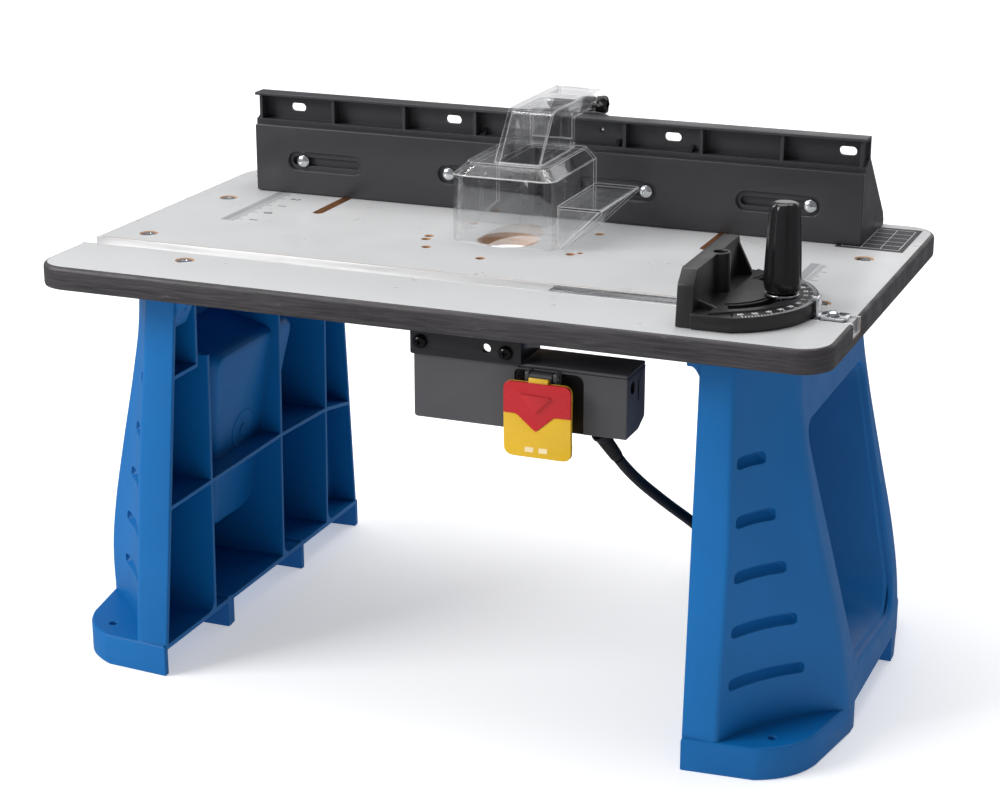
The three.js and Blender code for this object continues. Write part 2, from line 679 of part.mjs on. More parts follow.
function makeGuardHinge() {
  const { y, z } = GUARD_HINGE;
  const left = GUARD.armLeft + GUARD.wall + GAP;
  const right = GUARD.armRight - GUARD.wall - GAP;
  const hump = new THREE.Shape();
  hump.moveTo(-27, 388);
  hump.lineTo(50, 388);
  hump.lineTo(50, 400);
  hump.quadraticCurveTo(48, 409.5, 36, 409.5);
  hump.lineTo(-13, 409.5);
  hump.quadraticCurveTo(-25, 409.5, -27, 400);
  const plate = extrude(hump, 'y', 120 + GAP, 124.3, { curveSegments: 4 });
  const neck = extrude(
    polygon([[122, 398], [134, 400], [143, 406], [140, 416], [133.5, 414], [122, 409]]),
    'x', left, right,
  );
  const barrel = cylinder('x', 6.5, left, right, [y, z], 16);
  const bore = cylinder('x', 2.8, left - 1, right + 1, [y, z], 12);
  const holes = BRACKET_SCREWS.x.map((x) => cylinder('y', 2, 119, 126, [x, BRACKET_SCREWS.z], 10));
  addPart('guard_bracket', cut(join(plate, neck, barrel), bore, ...holes), 'blackPlastic');
  const screwTip = 124.3 + GAP - 6.4;
  BRACKET_SCREWS.x.forEach((x, i) => {
    const profile = [[0, 0], [1.7, 0], [1.7, 6.4], [3.6, 6.4], [3.2, 8.3], [0, 8.8]];
    const screw = latheY(profile, 10, x, screwTip, BRACKET_SCREWS.z);
    addPart(`bracket_screw_${i + 1}`, screw, 'zinc');
  });
  const pin = join(
    cylinder('x', 2.5, GUARD.armLeft - 1, GUARD.armRight + 8, [y, z], 12),
    cylinder('x', 5.2, GUARD.armLeft - 4.5, GUARD.armLeft - GAP, [y, z], 12),
  );
  addPart('guard_pin', pin, 'steel');
  const knob = new THREE.ExtrudeGeometry(knobShape(8.2, 6), { depth: 8, bevelEnabled: false });
  knob.rotateY(Math.PI / 2);
  knob.translate(GUARD.armRight + GAP, y, z);
  const knobBore = cylinder('x', 2.8, GUARD.armRight - 1, GUARD.armRight + 10, [y, z], 12);
  addPart('guard_knob', cut(solidOf(knob), knobBore), 'gaugeBlack');
}

// ---------------------------------------------------------------- miter gauge

function makeGaugeBar() {
  const half = 18.7 / 2;
  const floor = TABLE.top - MITER.depth + 0.4;
  const bar = box(80, 303, MITER.y - half, MITER.y + half, floor, TABLE.top - 0.2);
  const holes = [
    cylinder('z', 2.4, floor - 1, TABLE.top + 1, [GAUGE.pivotX, MITER.y], 12),
    cylinder('z', 3.3, floor - 1, TABLE.top + 1, [GAUGE.handleX, MITER.y], 12),
    cylinder('z', 2.2, floor - 1, TABLE.top + 1, [GAUGE.screwX, MITER.y], 12),
  ];
  addPart('gauge_bar', cut(bar, ...holes), 'steel');
}

function makeGaugeHead() {
  const { pivotX, radius, plate, face, height } = GAUGE;
  const y = MITER.y;
  const base = TABLE.top + 0.4;
  const top = base + plate;
  const back = face + 12;
  const disc = new THREE.Shape();
  const reach = Math.asin(GAUGE.half / radius);
  disc.moveTo(back - 1, y + GAUGE.half);
  disc.lineTo(back - 1, y - GAUGE.half);
  disc.absarc(pivotX, y, radius, -reach, reach);
  const slot = new THREE.Shape();
  const swing = (66 * Math.PI) / 180;
  const mid = GAUGE.handleX - pivotX;
  slot.absarc(pivotX, y, mid + 4.2, -swing, swing);
  slot.absarc(pivotX, y, mid - 4.2, swing, -swing, true);
  const facePlate = extrude(polygon([
    [y - 63, base], [y + 63, base], [y + 63, base + 6], [y + 49.5, base + height],
    [y - 49.8, base + height], [y - 59.5, base + 29],
  ]), 'x', face, back);
  const web = polygon([
    [back - 1, base], [back + 12, base + 8], [back + 11, base + 12], [back - 1, base + height - 2],
  ]);
  const gusset = (y0, y1) => extrude(web, 'y', y0, y1);
  const boss = cylinder('z', 7.5, base, base + height, [pivotX, y], 16);
  const head = cut(
    join(
      facePlate, extrude(disc, 'z', base, top, { curveSegments: 22 }),
      gusset(y + 46, y + 49), gusset(y - 50, y - 47), boss,
    ),
    extrude(slot, 'z', base - 1, top + 1, { curveSegments: 12 }),
    cylinder('z', 2.6, base - 1, base + 9, [pivotX, y], 12),
    cylinder('z', 4, base + 8, base + height + 1, [pivotX, y], 12),
  );
  addPart('gauge_head', head, 'gaugeBlack');
}

function makeGaugeHardware() {
  const y = MITER.y;
  const top = TABLE.top + 0.4 + GAUGE.plate;
  addPart('gauge_washer', lathe([
    [3.4, top + GAP], [12, top + GAP], [12, top + 1.9], [3.4, top + 1.9], [3.4, top + GAP],
  ], 16, GAUGE.handleX, y), 'zinc');
  const bottom = top + 1.9 + GAP;
  addPart('gauge_stud', cylinder('z', 3, TABLE.top - 9, bottom + 30, [GAUGE.handleX, y], 14), 'steel');
  const profile = [
    [3.2, 0], [9.4, 0], [12.6, 3.5], [13.2, 9], [12.6, 26], [11.4, 52], [10.6, 61.5], [8.8, 63.8],
    [0, 64.2], [0, 31], [3.2, 31], [3.2, 0],
  ];
  const flute = (i) => {
    const turn = (i * Math.PI) / 3;
    const x = GAUGE.handleX + 22.6 * Math.cos(turn);
    return cylinder('z', 11, bottom + 10, bottom + 66, [x, y + 22.6 * Math.sin(turn)], 12, 13);
  };
  let handle = lathe(profile, 18, GAUGE.handleX, y, bottom);
  for (let i = 0; i < 6; i += 1) handle = handle.subtract(flute(i));
  addPart('gauge_handle', handle, 'gaugeBlack');
  const seat = TABLE.top + 0.4 + 8 + GAP;
  addPart('gauge_pivot_screw', lathe([
    [0, TABLE.top - 9], [2.2, TABLE.top - 9], [2.2, seat], [3.6, seat], [3.6, seat + 4],
    [0, seat + 4],
  ], 12, GAUGE.pivotX, y), 'zinc');
}

function makePointer() {
  const y = MITER.y;
  const z = TABLE.top + GAP;
  const rim = GAUGE.pivotX + GAUGE.radius + 1.2;
  const clip = join(
    box(rim, 299, y - 9, y + 9, z, z + 1.4),
    box(rim, rim + 1.4, y - 6, y + 6, z, z + 14),
    box(rim - 5, rim + 1, y - 2, y + 2, z + 12.6, z + 14),
  );
  const hole = cylinder('z', 2.2, z - 1, z + 3, [GAUGE.screwX, y], 12);
  addPart('gauge_pointer', cut(clip, hole), 'zinc');
  const head = z + 1.4 + GAP;
  addPart('pointer_screw', lathe([
    [0, head - 9], [1.8, head - 9], [1.8, head], [4.4, head], [4, head + 2], [2.2, head + 3],
    [0, head + 3.2],
  ], 12, GAUGE.screwX, y), 'zinc');
}

// ---------------------------------------------------------------- switch

const STRIP_SCREWS = [[6.3, 295.4], [71.8, 294]];
const STRIP_HOLE = [57, 295.7];

function makeSwitchBracket() {
  // Folded hanger: a flange under the table, a front strip and an end cheek.
  const { front } = SWITCH;
  const face = front - 2.2;
  const top = TABLE_BOTTOM - GAP;
  const strip = roundedRect(-1.5, 83.3, 285.8, 306.7, 1.5);
  const hanger = join(
    extrude(strip, 'y', face, face + 2, { curveSegments: 2 }),
    box(-1.5, 83.3, face, -128, top - 2, top),
    box(81.3, 83.3, face, -128, 288, top),
  );
  const holes = [
    cylinder('y', 3.5, face - 1, face + 3, STRIP_HOLE, 12),
    ...STRIP_SCREWS.map((at) => cylinder('y', 2.5, face - 1, face + 3, at, 10)),
    ...[18, 62].map((x) => cylinder('z', 2.5, top - 4, top + 1, [x, -142], 10)),
  ];
  addPart('switch_bracket', cut(hanger, ...holes), 'blackSteel');
  const head = 3.4;
  STRIP_SCREWS.forEach(([x, z], i) => {
    const profile = [[0, 0], [3.4, 0.6], [5.2, 2.2], [5.2, head], [2.1, head], [2.1, 12], [0, 12]];
    const screw = latheY(profile, 12, x, face - GAP - head, z);
    addPart(`switch_screw_${i + 1}`, screw, 'blackSteel');
  });
}

function makeSwitchBox() {
  const { front, back, left, right, bottom, top } = SWITCH;
  const outline = roundedRect(0.3, 80, 238.1, 303.5, 2);
  const ear = extrude(outline, 'y', front, front + 2.4, { curveSegments: 2 });
  const section = polygon([
    [front, bottom], [back - 14, bottom], [back, bottom + 6], [back, top], [front, top],
  ]);
  const hollow = polygon([
    [front + 2.6, bottom + 2.6], [back - 14, bottom + 2.6], [back - 2.4, bottom + 8],
    [back - 2.4, top + 1], [front + 2.6, top + 1],
  ]);
  const body = extrude(section, 'x', left, right);
  const cavity = extrude(hollow, 'x', left + 2.5, right - 2.5);
  const opening = box(82, 118, front - 1, front + 4, 243, 276);
  const holes = [
    ...STRIP_SCREWS.map((at) => cylinder('y', 2.5, front - 1, front + 4, at, 10)),
    cylinder('y', 3.5, front - 1, front + 4, STRIP_HOLE, 12),
    cylinder('x', 4.2, right - 4, right + 1, [-152, 275], 12),
    cylinder('z', 5.2, bottom - 1, bottom + 4, [139.5, -152], 12),
  ];
  const clips = [88.5, 109.5].map((x) => box(x, x + 3, front - 8, front + 1, 275, top));
  const bore = cylinder('x', 1.6, 80, 120, [front - 5, PADDLE.hingeZ], 10);
  const housing = join(ear, cut(body, cavity), ...clips);
  addPart('switch_housing', cut(housing, opening, bore, ...holes), 'blackPlastic');
  addPart('switch_lid', box(80 + GAP, right, front, back, top + GAP, top + 2.6), 'blackPlastic');
}

function makePaddle() {
  const { left, right, top, bottom, front, hingeZ } = PADDLE;
  const outline = roundedRect(left, right, bottom, top, 5);
  const plate = extrude(outline, 'y', front, front + 3.4, { curveSegments: 4 });
  const tongue = box(93, 107.5, front + 0.5, SWITCH.front - 3.4, 272, hingeZ + 2.6);
  const lip = extrude(
    roundedRect(left, right, bottom, bottom + 16, 5), 'y', front - 1.2, front + 2, { curveSegments: 4 },
  );
  const bore = cylinder('x', 1.6, 85, 115, [SWITCH.front - 5, hingeZ], 10);
  addPart('stop_paddle', cut(join(plate, tongue, lip), bore), 'yellow');
  addPart('paddle_pin', cylinder('x', 1.35, 88, 113, [SWITCH.front - 5, hingeZ], 10), 'steel');
}

function makeSwitchInside() {
  const { front, bottom, top } = SWITCH;
  const block = box(84, 116, front + 10, front + 33, bottom + 9, top - 6);
  const seat = box(92, 108, front + 9, front + 20, 246, 274);
  addPart('switch_module', cut(block, seat), 'blackPlastic');
  const rocker = polygon([
    [front - 2.5, 248], [front - 0.5, 260], [front - 1.5, 272], [front + 15, 270], [front + 15, 250],
  ]);
  addPart('rocker', extrude(rocker, 'x', 93, 107), 'green');
  addPart('wire_block', box(128, 152, front + 10, front + 30, 258, 274), 'blackPlastic');
}

// ---------------------------------------------------------------- cord

// Hand-laid route of the free cord from the strain relief down to the floor and the coil.
const CORD_ROUTE = [
  [148.2, -142.2, 218], [151.5, -135.5, 209.5], [158, -123, 195.5], [166.5, -109, 181], [174, -96, 168.5],
  [182, -81, 155], [190, -60, 137], [196.5, -32, 115], [200.5, 0, 90], [202, 32, 64.5], [202.4, 62, 41],
  [202.4, 92, 21], [202.6, 118, 9], [203.2, 140, 4.6], [204.2, 157, 4.2],
];

function tube(points, radius, sides, steps) {
  const knots = points.map((p) => new THREE.Vector3(...p));
  const path = new THREE.CatmullRomCurve3(knots, false, 'centripetal');
  const section = new THREE.Shape();
  for (let i = 0; i < sides; i += 1) {
    const t = (i / sides) * Math.PI * 2;
    section[i ? 'lineTo' : 'moveTo'](radius * Math.cos(t), radius * Math.sin(t));
  }
  return new THREE.ExtrudeGeometry(section, { steps, extrudePath: path, bevelEnabled: false });
}

function makeCord() {
  const start = new THREE.Vector3(139.3, -155.8, 239.5);
  const end = new THREE.Vector3(...CORD_ROUTE[0]);
  const axis = end.clone().sub(start);
  const length = axis.length() - 1.4;
  const relief = latheGeometry([
    [0, 0], [6.6, 0], [6.6, 2.4], [5.9, 4], [5.3, length * 0.6], [4.6, length], [0, length],
  ], 12);
  const lean = new THREE.Quaternion();
  lean.setFromUnitVectors(new THREE.Vector3(0, 1, 0), axis.clone().normalize());
  relief.applyQuaternion(lean);
  relief.translate(start.x, start.y, start.z);
  const clip = box(100, 200, -200, -100, 150, SWITCH.bottom - GAP);
  addPart('strain_relief', solidOf(relief).intersect(clip), 'rubber');
  addPart('cord_tube', solidOf(tube(CORD_ROUTE, CORD_R, 8, 26)), 'rubber');
  const { x, y, inner, outer, height } = COIL;
  const ring = [[inner, 0.2], [outer, 0.2], [outer, height], [inner, height], [inner, 0.2]];
  addPart('cord_coil', lathe(ring, 28, x, y), 'rubber');
}

// The cord's end curls off the coil's top turn to the plug, which lies behind the leg.
const TAIL = { x: 266.5, y: 191, r: 60, start: 21.5, end: 34, top: 19.5, rest: 10.5 };

function tailPoint(degrees, z) {
  const turn = THREE.MathUtils.degToRad(degrees);
  return [TAIL.x - TAIL.r * Math.cos(turn), TAIL.y + TAIL.r * Math.sin(turn), z];
}

function makePlug() {
  const steps = 4;
  const points = [];
  for (let i = 0; i <= steps; i += 1) {
    const drop = THREE.MathUtils.smoothstep(i, 0, steps);
    const z = THREE.MathUtils.lerp(TAIL.top, TAIL.rest, drop);
    points.push(tailPoint(TAIL.start + ((TAIL.end - TAIL.start) * i) / steps, z));
  }
  addPart('cord_tail', solidOf(tube(points, CORD_R, 8, 8)), 'rubber');
  const body = join(
    cylinder('x', 4.8, 2.2, 15, [0, 0], 16, 6.2),
    extrude(roundedRect(-11, 11, -9.5, 9.5, 6), 'x', 14, 41, { curveSegments: 3 }),
  );
  const blades = join(
    box(39, 58, -7.1, -5.6, -1, 5.3),
    box(39, 58, 5.6, 7.1, -1, 5.3),
    cylinder('x', 2.4, 39, 61, [0, -5.5], 12),
  );
  const plug = join(body, blades).rotate([0, 0, 90 - TAIL.end]);
  addPart('cord_plug', plug.translate(tailPoint(TAIL.end, TAIL.rest)), 'rubber');
}

// ---------------------------------------------------------------- assembly

makeTabletop();
makeMiterTrack();
makeLegScrews();
makeLegs();
makeFenceFrame();
makeFenceFace('fence_face_left', -261.5, -8.5, [[-231, -163], [-94, -26]]);
makeFenceFace('fence_face_right', -2, 260, [[26, 93.5], [159.5, 227]]);
makeFaceBolts();
makeFenceClamps();
makeDustHood();
makeGuard();
makeGuardHinge();
makeGaugeBar();
makeGaugeHead();
makeGaugeHardware();
makePointer();
makeSwitchBracket();
makeSwitchBox();
makePaddle();
makeSwitchInside();
makeCord();
makePlug();

export default table;
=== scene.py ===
"""Looks for a bench-top router table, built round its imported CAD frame."""

import json
import math

import bmesh
import bpy
import numpy as np
from mathutils import Matrix, Vector


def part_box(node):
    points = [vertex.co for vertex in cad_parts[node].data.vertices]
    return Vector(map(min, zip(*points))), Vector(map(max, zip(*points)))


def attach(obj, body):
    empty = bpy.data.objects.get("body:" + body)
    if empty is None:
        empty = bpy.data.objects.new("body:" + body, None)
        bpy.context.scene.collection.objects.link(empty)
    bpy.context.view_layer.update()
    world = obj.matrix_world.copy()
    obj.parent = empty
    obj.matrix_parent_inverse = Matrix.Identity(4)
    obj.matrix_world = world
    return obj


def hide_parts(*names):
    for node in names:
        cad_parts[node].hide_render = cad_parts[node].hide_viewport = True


MM = 0.001
GAP = 0.3
TOP = 325.0
BOTTOM = 307.0
PI = math.pi

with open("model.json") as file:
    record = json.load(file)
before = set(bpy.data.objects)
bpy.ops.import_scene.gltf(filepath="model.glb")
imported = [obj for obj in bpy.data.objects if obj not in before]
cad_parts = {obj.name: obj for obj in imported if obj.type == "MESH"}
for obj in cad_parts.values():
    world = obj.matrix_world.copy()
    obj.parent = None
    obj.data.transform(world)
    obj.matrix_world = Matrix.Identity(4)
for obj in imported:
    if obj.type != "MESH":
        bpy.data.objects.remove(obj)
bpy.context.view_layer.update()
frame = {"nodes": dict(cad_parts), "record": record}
NODES = frame["nodes"]
SLOT_OF = {s["node"]: s["material_slot"] for s in frame["record"]["subparts"]}
BODY_OF = {n: b for b, ns in frame["record"]["behaviour"]["bodies"].items() for n in ns}

# ------------------------------------------------------------------ camera, light, floor


def make_camera():
    azimuth, elevation = math.radians(21.85), math.radians(18.36)
    back = Vector((
        math.sin(azimuth) * math.cos(elevation),
        -math.cos(azimuth) * math.cos(elevation),
        math.sin(elevation),
    ))
    data = bpy.data.cameras.new("camera")
    data.lens = 82.27
    data.sensor_width = 36
    camera = bpy.data.objects.new("camera", data)
    camera.location = (0.6382, -1.5894, 0.7651)
    camera.rotation_mode = "QUATERNION"
    camera.rotation_quaternion = (-back).to_track_quat("-Z", "Y")
    bpy.context.scene.collection.objects.link(camera)
    bpy.context.scene.camera = camera


def area_light(name, place, aim, size, power, tint=(1, 1, 1)):
    data = bpy.data.lights.new(name, "AREA")
    data.shape = "RECTANGLE"
    data.size, data.size_y = size
    data.energy = power
    data.color = tint
    light = bpy.data.objects.new(name, data)
    light.location = place
    light.rotation_mode = "QUATERNION"
    light.rotation_quaternion = (Vector(aim) - Vector(place)).to_track_quat("-Z", "Y")
    bpy.context.scene.collection.objects.link(light)


def make_lights():
    area_light("key", (-2.9, -2.3, 2.4), (0, 0, 0.25), (2.2, 1.8), 142)
    area_light("top", (-0.2, 0.4, 2.3), (0, 0, 0.2), (2.4, 1.8), 40)
    area_light("back", (0.5, 2.7, 1.3), (0, 0, 0.3), (3.0, 1.2), 11)
    world = bpy.data.worlds.new("world")
    world.use_nodes = True
    background = world.node_tree.nodes["Background"]
    background.inputs["Color"].default_value = (0.96, 0.95, 1, 1)
    background.inputs["Strength"].default_value = 0.25
    bpy.context.scene.world = world
    bpy.context.scene.view_settings.view_transform = "Standard"


# ------------------------------------------------------------------ materials


class Shader:
    """Small helper round one principled material."""

    def __init__(self, name, color, rough, metal=0.0):
        self.mat = bpy.data.materials.new(name)
        self.mat.use_nodes = True
        self.tree = self.mat.node_tree
        self.bsdf = self.tree.nodes["Principled BSDF"]
        self.color = color
        self.set("Base Color", (*color, 1))
        self.set("Roughness", rough)
        self.set("Metallic", metal)
        coords = self.tree.nodes.new("ShaderNodeTexCoord")
        self.coords = coords.outputs["Object"]
        self.normal = None

    def set(self, socket, value):
        self.bsdf.inputs[socket].default_value = value

    def node(self, kind, **inputs):
        node = self.tree.nodes.new(kind)
        for key, value in inputs.items():
            socket = node.inputs[int(key[1:])] if key[0] == "i" and key[1:].isdigit() else node.inputs[key]
            if isinstance(value, bpy.types.NodeSocket):
                self.tree.links.new(value, socket)
            else:
                socket.default_value = value
        return node

    def noise(self, scale, stretch=(1, 1, 1), detail=4.0, rough=0.55, offset=0.0):
        move = self.node("ShaderNodeMapping", Vector=self.coords)
        move.inputs["Scale"].default_value = stretch
        move.inputs["Location"].default_value = (offset, offset * 0.7, offset * 1.3)
        node = self.node("ShaderNodeTexNoise", Vector=move.outputs[0])
        node.inputs["Scale"].default_value = scale
        node.inputs["Detail"].default_value = detail
        node.inputs["Roughness"].default_value = rough
        return node.outputs["Fac"]

    def remap(self, value, a, b, c, d):
        node = self.node("ShaderNodeMapRange", Value=value)
        for key, x in (("From Min", a), ("From Max", b), ("To Min", c), ("To Max", d)):
            node.inputs[key].default_value = x
        return node.outputs[0]

    def math(self, kind, a, b=0.0):
        node = self.tree.nodes.new("ShaderNodeMath")
        node.operation = kind
        for socket, value in zip(node.inputs, (a, b)):
            if isinstance(value, bpy.types.NodeSocket):
                self.tree.links.new(value, socket)
            else:
                socket.default_value = value
        return node.outputs[0]

    def mix(self, fac, a, b):
        node = self.tree.nodes.new("ShaderNodeMix")
        node.data_type = "RGBA"
        for i, value in ((0, fac), (6, a), (7, b)):
            if isinstance(value, bpy.types.NodeSocket):
                self.tree.links.new(value, node.inputs[i])
            elif i:
                node.inputs[i].default_value = (*value[:3], 1)
            else:
                node.inputs[i].default_value = value
        return node.outputs[2]

    def link(self, value, socket):
        self.tree.links.new(value, self.bsdf.inputs[socket])

    def tone(self, scale, low, high, **kw):
        """Slow change of brightness over the surface."""
        fac = self.remap(self.noise(scale, **kw), 0.3, 0.7, 0, 1)
        dark = [c * low for c in self.color]
        light = [min(1, c * high) for c in self.color]
        return self.mix(fac, dark, light)

    def roughness(self, scale, low, high, **kw):
        self.link(self.remap(self.noise(scale, **kw), 0.3, 0.7, low, high), "Roughness")

    def bump(self, height, distance, strength=0.5):
        node = self.node("ShaderNodeBump", Height=height)
        node.inputs["Distance"].default_value = distance * MM
        node.inputs["Strength"].default_value = strength
        if self.normal is not None:
            self.tree.links.new(self.normal, node.inputs["Normal"])
        self.normal = node.outputs[0]
        self.link(self.normal, "Normal")

    def far_glow(self, near, far, low, high):
        """Painted light: a glow strength that grows with distance from the origin on the floor."""
        geometry = self.tree.nodes.new("ShaderNodeNewGeometry")
        length = self.tree.nodes.new("ShaderNodeVectorMath")
        length.operation = "LENGTH"
        self.tree.links.new(geometry.outputs["Position"], length.inputs[0])
        return self.remap(length.outputs["Value"], near, far, low, high)

    def rounded(self, radius):
        """Softens the shading of every sharp edge."""
        node = self.tree.nodes.new("ShaderNodeBevel")
        node.samples = 4
        node.inputs["Radius"].default_value = radius * MM
        self.normal = node.outputs[0]
        self.link(self.normal, "Normal")
        return self.normal

    def edges(self, radius, limit=0.86):
        """A mask that is bright along sharp edges."""
        bevel = self.tree.nodes.new("ShaderNodeBevel")
        bevel.samples = 4
        bevel.inputs["Radius"].default_value = radius * MM
        geometry = self.tree.nodes.new("ShaderNodeNewGeometry")
        dot = self.tree.nodes.new("ShaderNodeVectorMath")
        dot.operation = "DOT_PRODUCT"
        self.tree.links.new(bevel.outputs[0], dot.inputs[0])
        self.tree.links.new(geometry.outputs["Normal"], dot.inputs[1])
        return self.remap(dot.outputs["Value"], 0.997, limit, 0, 1)


def plastic(name, color, rough, grain=0.05, edge=0.6, edge_wear_and_highlight=0.0, tones=(0.9, 1.08), spread=0.06, scale=900):
    s = Shader(name, color, rough)
    base = s.tone(9, *tones, offset=len(name))
    if edge_wear_and_highlight:
        # patchy lightening along sharp edges: partly rubbed wear, partly a painted highlight on the edges
        mask = s.math("MULTIPLY", s.edges(edge * 1.2), s.remap(s.noise(60, offset=3.1), 0.42, 0.62, 0, edge_wear_and_highlight))
        base = s.mix(mask, base, [min(1, c * 1.8 + 0.05) for c in color])
    s.link(base, "Base Color")
    s.roughness(35, rough - spread, rough + spread, offset=1.7)
    if edge:
        s.rounded(edge)
    s.bump(s.noise(scale, detail=2), grain, 0.35)
    return s


def metal(name, color, rough, brushed=(1, 1, 1), edge=0.25, grain=0.02, tones=(0.82, 1.1)):
    s = Shader(name, color, rough, 1.0)
    s.link(s.tone(45, *tones, stretch=brushed, offset=2.2), "Base Color")
    s.roughness(160, rough * 0.7, rough * 1.4, stretch=brushed)
    if edge:
        s.rounded(edge)
    s.bump(s.noise(700, stretch=brushed, detail=3), grain, 0.4)
    return s


def make_materials():
    m = {}
    blue = plastic("blue_moulded", (0.002, 0.134, 0.40), 0.42, grain=0.05, edge=1.3, tones=(0.93, 1.06))
    blue.set("Specular IOR Level", 0.25)
    m["blue"] = blue
    m["black"] = plastic("black_moulded", (0.034, 0.034, 0.038), 0.42, grain=0.05, edge=0.5, edge_wear_and_highlight=0.35)
    m["face"] = plastic("fence_face_moulded", (0.036, 0.036, 0.040), 0.36, grain=0.035, edge=0.5, edge_wear_and_highlight=0.3)
    m["gauge"] = plastic("gauge_moulded", (0.016, 0.016, 0.017), 0.38, grain=0.05, edge=0.8, edge_wear_and_highlight=0.4)
    m["knob"] = plastic("knob_moulded", (0.012, 0.012, 0.013), 0.27, grain=0.02, edge=0.6, edge_wear_and_highlight=0.25)
    m["handle"] = plastic("handle_gloss", (0.010, 0.010, 0.011), 0.2, grain=0.012, edge=0, tones=(0.9, 1.1))
    m["yellow"] = plastic("paddle_yellow", (0.70, 0.43, 0.02), 0.30, grain=0.02, edge=0.5, tones=(0.95, 1.04))
    m["red"] = plastic("paddle_red", (0.48, 0.012, 0.018), 0.30, grain=0.02, edge=0.4, tones=(0.95, 1.05))
    m["red_mark"] = plastic("paddle_red_mark", (0.33, 0.006, 0.012), 0.34, grain=0.02, edge=0.2)
    m["pale_mark"] = plastic("pale_print", (0.80, 0.66, 0.40), 0.45, grain=0.01, edge=0)
    m["green"] = plastic("start_green", (0.03, 0.25, 0.08), 0.3, edge=0.6)
    m["rubber"] = plastic("cord_jacket", (0.011, 0.011, 0.012), 0.42, grain=0.03, edge=0, tones=(0.85, 1.2))
    m["blade"] = metal("plug_blade", (0.72, 0.60, 0.36), 0.25)
    m["zinc"] = metal("zinc_plate", (0.70, 0.72, 0.74), 0.2)
    m["steel"] = metal("drawn_steel", (0.60, 0.61, 0.62), 0.26, brushed=(0.05, 1, 1))
    m["aluminium"] = metal("track_aluminium", (0.84, 0.84, 0.84), 0.42, brushed=(0.03, 1, 1), edge=0.3)
    dark = plastic("black_steel", (0.016, 0.016, 0.018), 0.34, grain=0.04, edge=0.35, edge_wear_and_highlight=0.3)
    dark.set("Coat Weight", 0.25)
    m["black_steel"] = dark
    m["screw_black"] = metal("black_screw", (0.045, 0.045, 0.048), 0.24)
    m["box"] = plastic("switch_box_moulded", (0.070, 0.070, 0.077), 0.42, grain=0.05, edge=0.5, edge_wear_and_highlight=0.25)
    # painted shade: a near-black copy of the box plastic for the walls of the switch housing's holes and
    # pocket, darkening them as shade would
    m["recess"] = plastic("recess_black", (0.006, 0.006, 0.007), 0.22, grain=0.01, edge=0.4)
    strap = plastic("loop_strap", (0.016, 0.016, 0.018), 0.85, grain=0.25, edge=0.2, scale=1500)
    m["strap"] = strap
    m["print_grey"] = plastic("print_grey", (0.30, 0.31, 0.32), 0.5, grain=0.01, edge=0)
    m["print_dark"] = plastic("print_dark", (0.03, 0.03, 0.035), 0.5, grain=0.01, edge=0)
    m["sticker"] = plastic("sticker_black", (0.020, 0.020, 0.024), 0.6, grain=0.01, edge=0)
    m["white"] = plastic("print_white", (0.75, 0.76, 0.77), 0.5, grain=0.01, edge=0)

    lam = Shader("laminate", (0.575, 0.585, 0.585), 0.36)
    lam.set("Specular IOR Level", 0.3)
    speck = lam.remap(lam.noise(1400, detail=2, rough=0.7), 0.35, 0.65, 0, 1)
    base = lam.mix(speck, (0.555, 0.560, 0.562), (0.592, 0.597, 0.597))
    broad = lam.remap(lam.noise(3.2, offset=5), 0.35, 0.65, 0, 0.25)
    lam.link(lam.mix(broad, base, (0.51, 0.52, 0.525)), "Base Color")
    lam.roughness(26, 0.26, 0.4, offset=2)
    lam.rounded(0.5)
    lam.bump(lam.noise(900, detail=3), 0.008, 0.2)
    m["laminate"] = lam

    edge = Shader("painted_edge", (0.035, 0.034, 0.034), 0.46)
    streak = edge.remap(edge.noise(30, stretch=(1, 1, 26), detail=6, rough=0.7), 0.35, 0.7, 0, 1)
    base = edge.mix(streak, (0.022, 0.020, 0.022), (0.068, 0.062, 0.066))
    scuff = edge.remap(
        edge.noise(85, stretch=(0.5, 0.5, 3), detail=6, rough=0.75, offset=4), 0.60, 0.74, 0, 0.6
    )
    edge.link(edge.mix(scuff, base, (0.20, 0.175, 0.16)), "Base Color")
    edge.roughness(60, 0.36, 0.6)
    edge.rounded(0.6)
    edge.bump(edge.noise(420, stretch=(1, 1, 4), detail=5, rough=0.7), 0.12, 0.6)
    m["edge"] = edge

    board = Shader("board_core", (0.33, 0.17, 0.085), 0.8)
    fibre = board.remap(board.noise(500, stretch=(1, 1, 3), detail=6, rough=0.8), 0.3, 0.7, 0, 1)
    board.link(board.mix(fibre, (0.34, 0.18, 0.09), (0.56, 0.33, 0.175)), "Base Color")
    board.bump(board.noise(900, detail=5), 0.15, 0.6)
    m["board"] = board

    guard = Shader("clear_guard", (0.95, 0.97, 0.985), 0.035)
    guard.set("Transmission Weight", 1.0)
    guard.set("IOR", 1.46)
    # painted highlight: along sharp edges the guard turns white and nearly opaque, standing in for the bright
    # lines of light on its edges
    rim = guard.edges(0.85, 0.95)
    guard.link(guard.mix(rim, (0.95, 0.97, 0.985), (1, 1, 1)), "Base Color")
    guard.link(guard.remap(rim, 0, 1, 0.30, 1.0), "Alpha")
    guard.link(guard.remap(rim, 0, 1, 1.0, 0.08), "Transmission Weight")
    guard.link(guard.remap(guard.noise(30, offset=1), 0.35, 0.7, 0.0, 0.03), "Roughness")
    guard.bump(guard.noise(11, detail=1), 0.2, 0.05)
    m["clear"] = guard

    floor = Shader("studio_floor", (0.86, 0.865, 0.87), 0.75)
    floor.link(floor.tone(3, 0.985, 1.01), "Base Color")
    floor.set("Emission Color", (1, 1, 1, 1))
    # painted light: the floor glows, from 0.41 near the table to 0.75 far off, brightening its shadows and
    # its far part as lamp light would
    floor.link(floor.far_glow(0.9, 3.0, 0.41, 0.75), "Emission Strength")
    m["floor"] = floor
    return {key: value.mat for key, value in m.items()}


# ------------------------------------------------------------------ mesh helpers


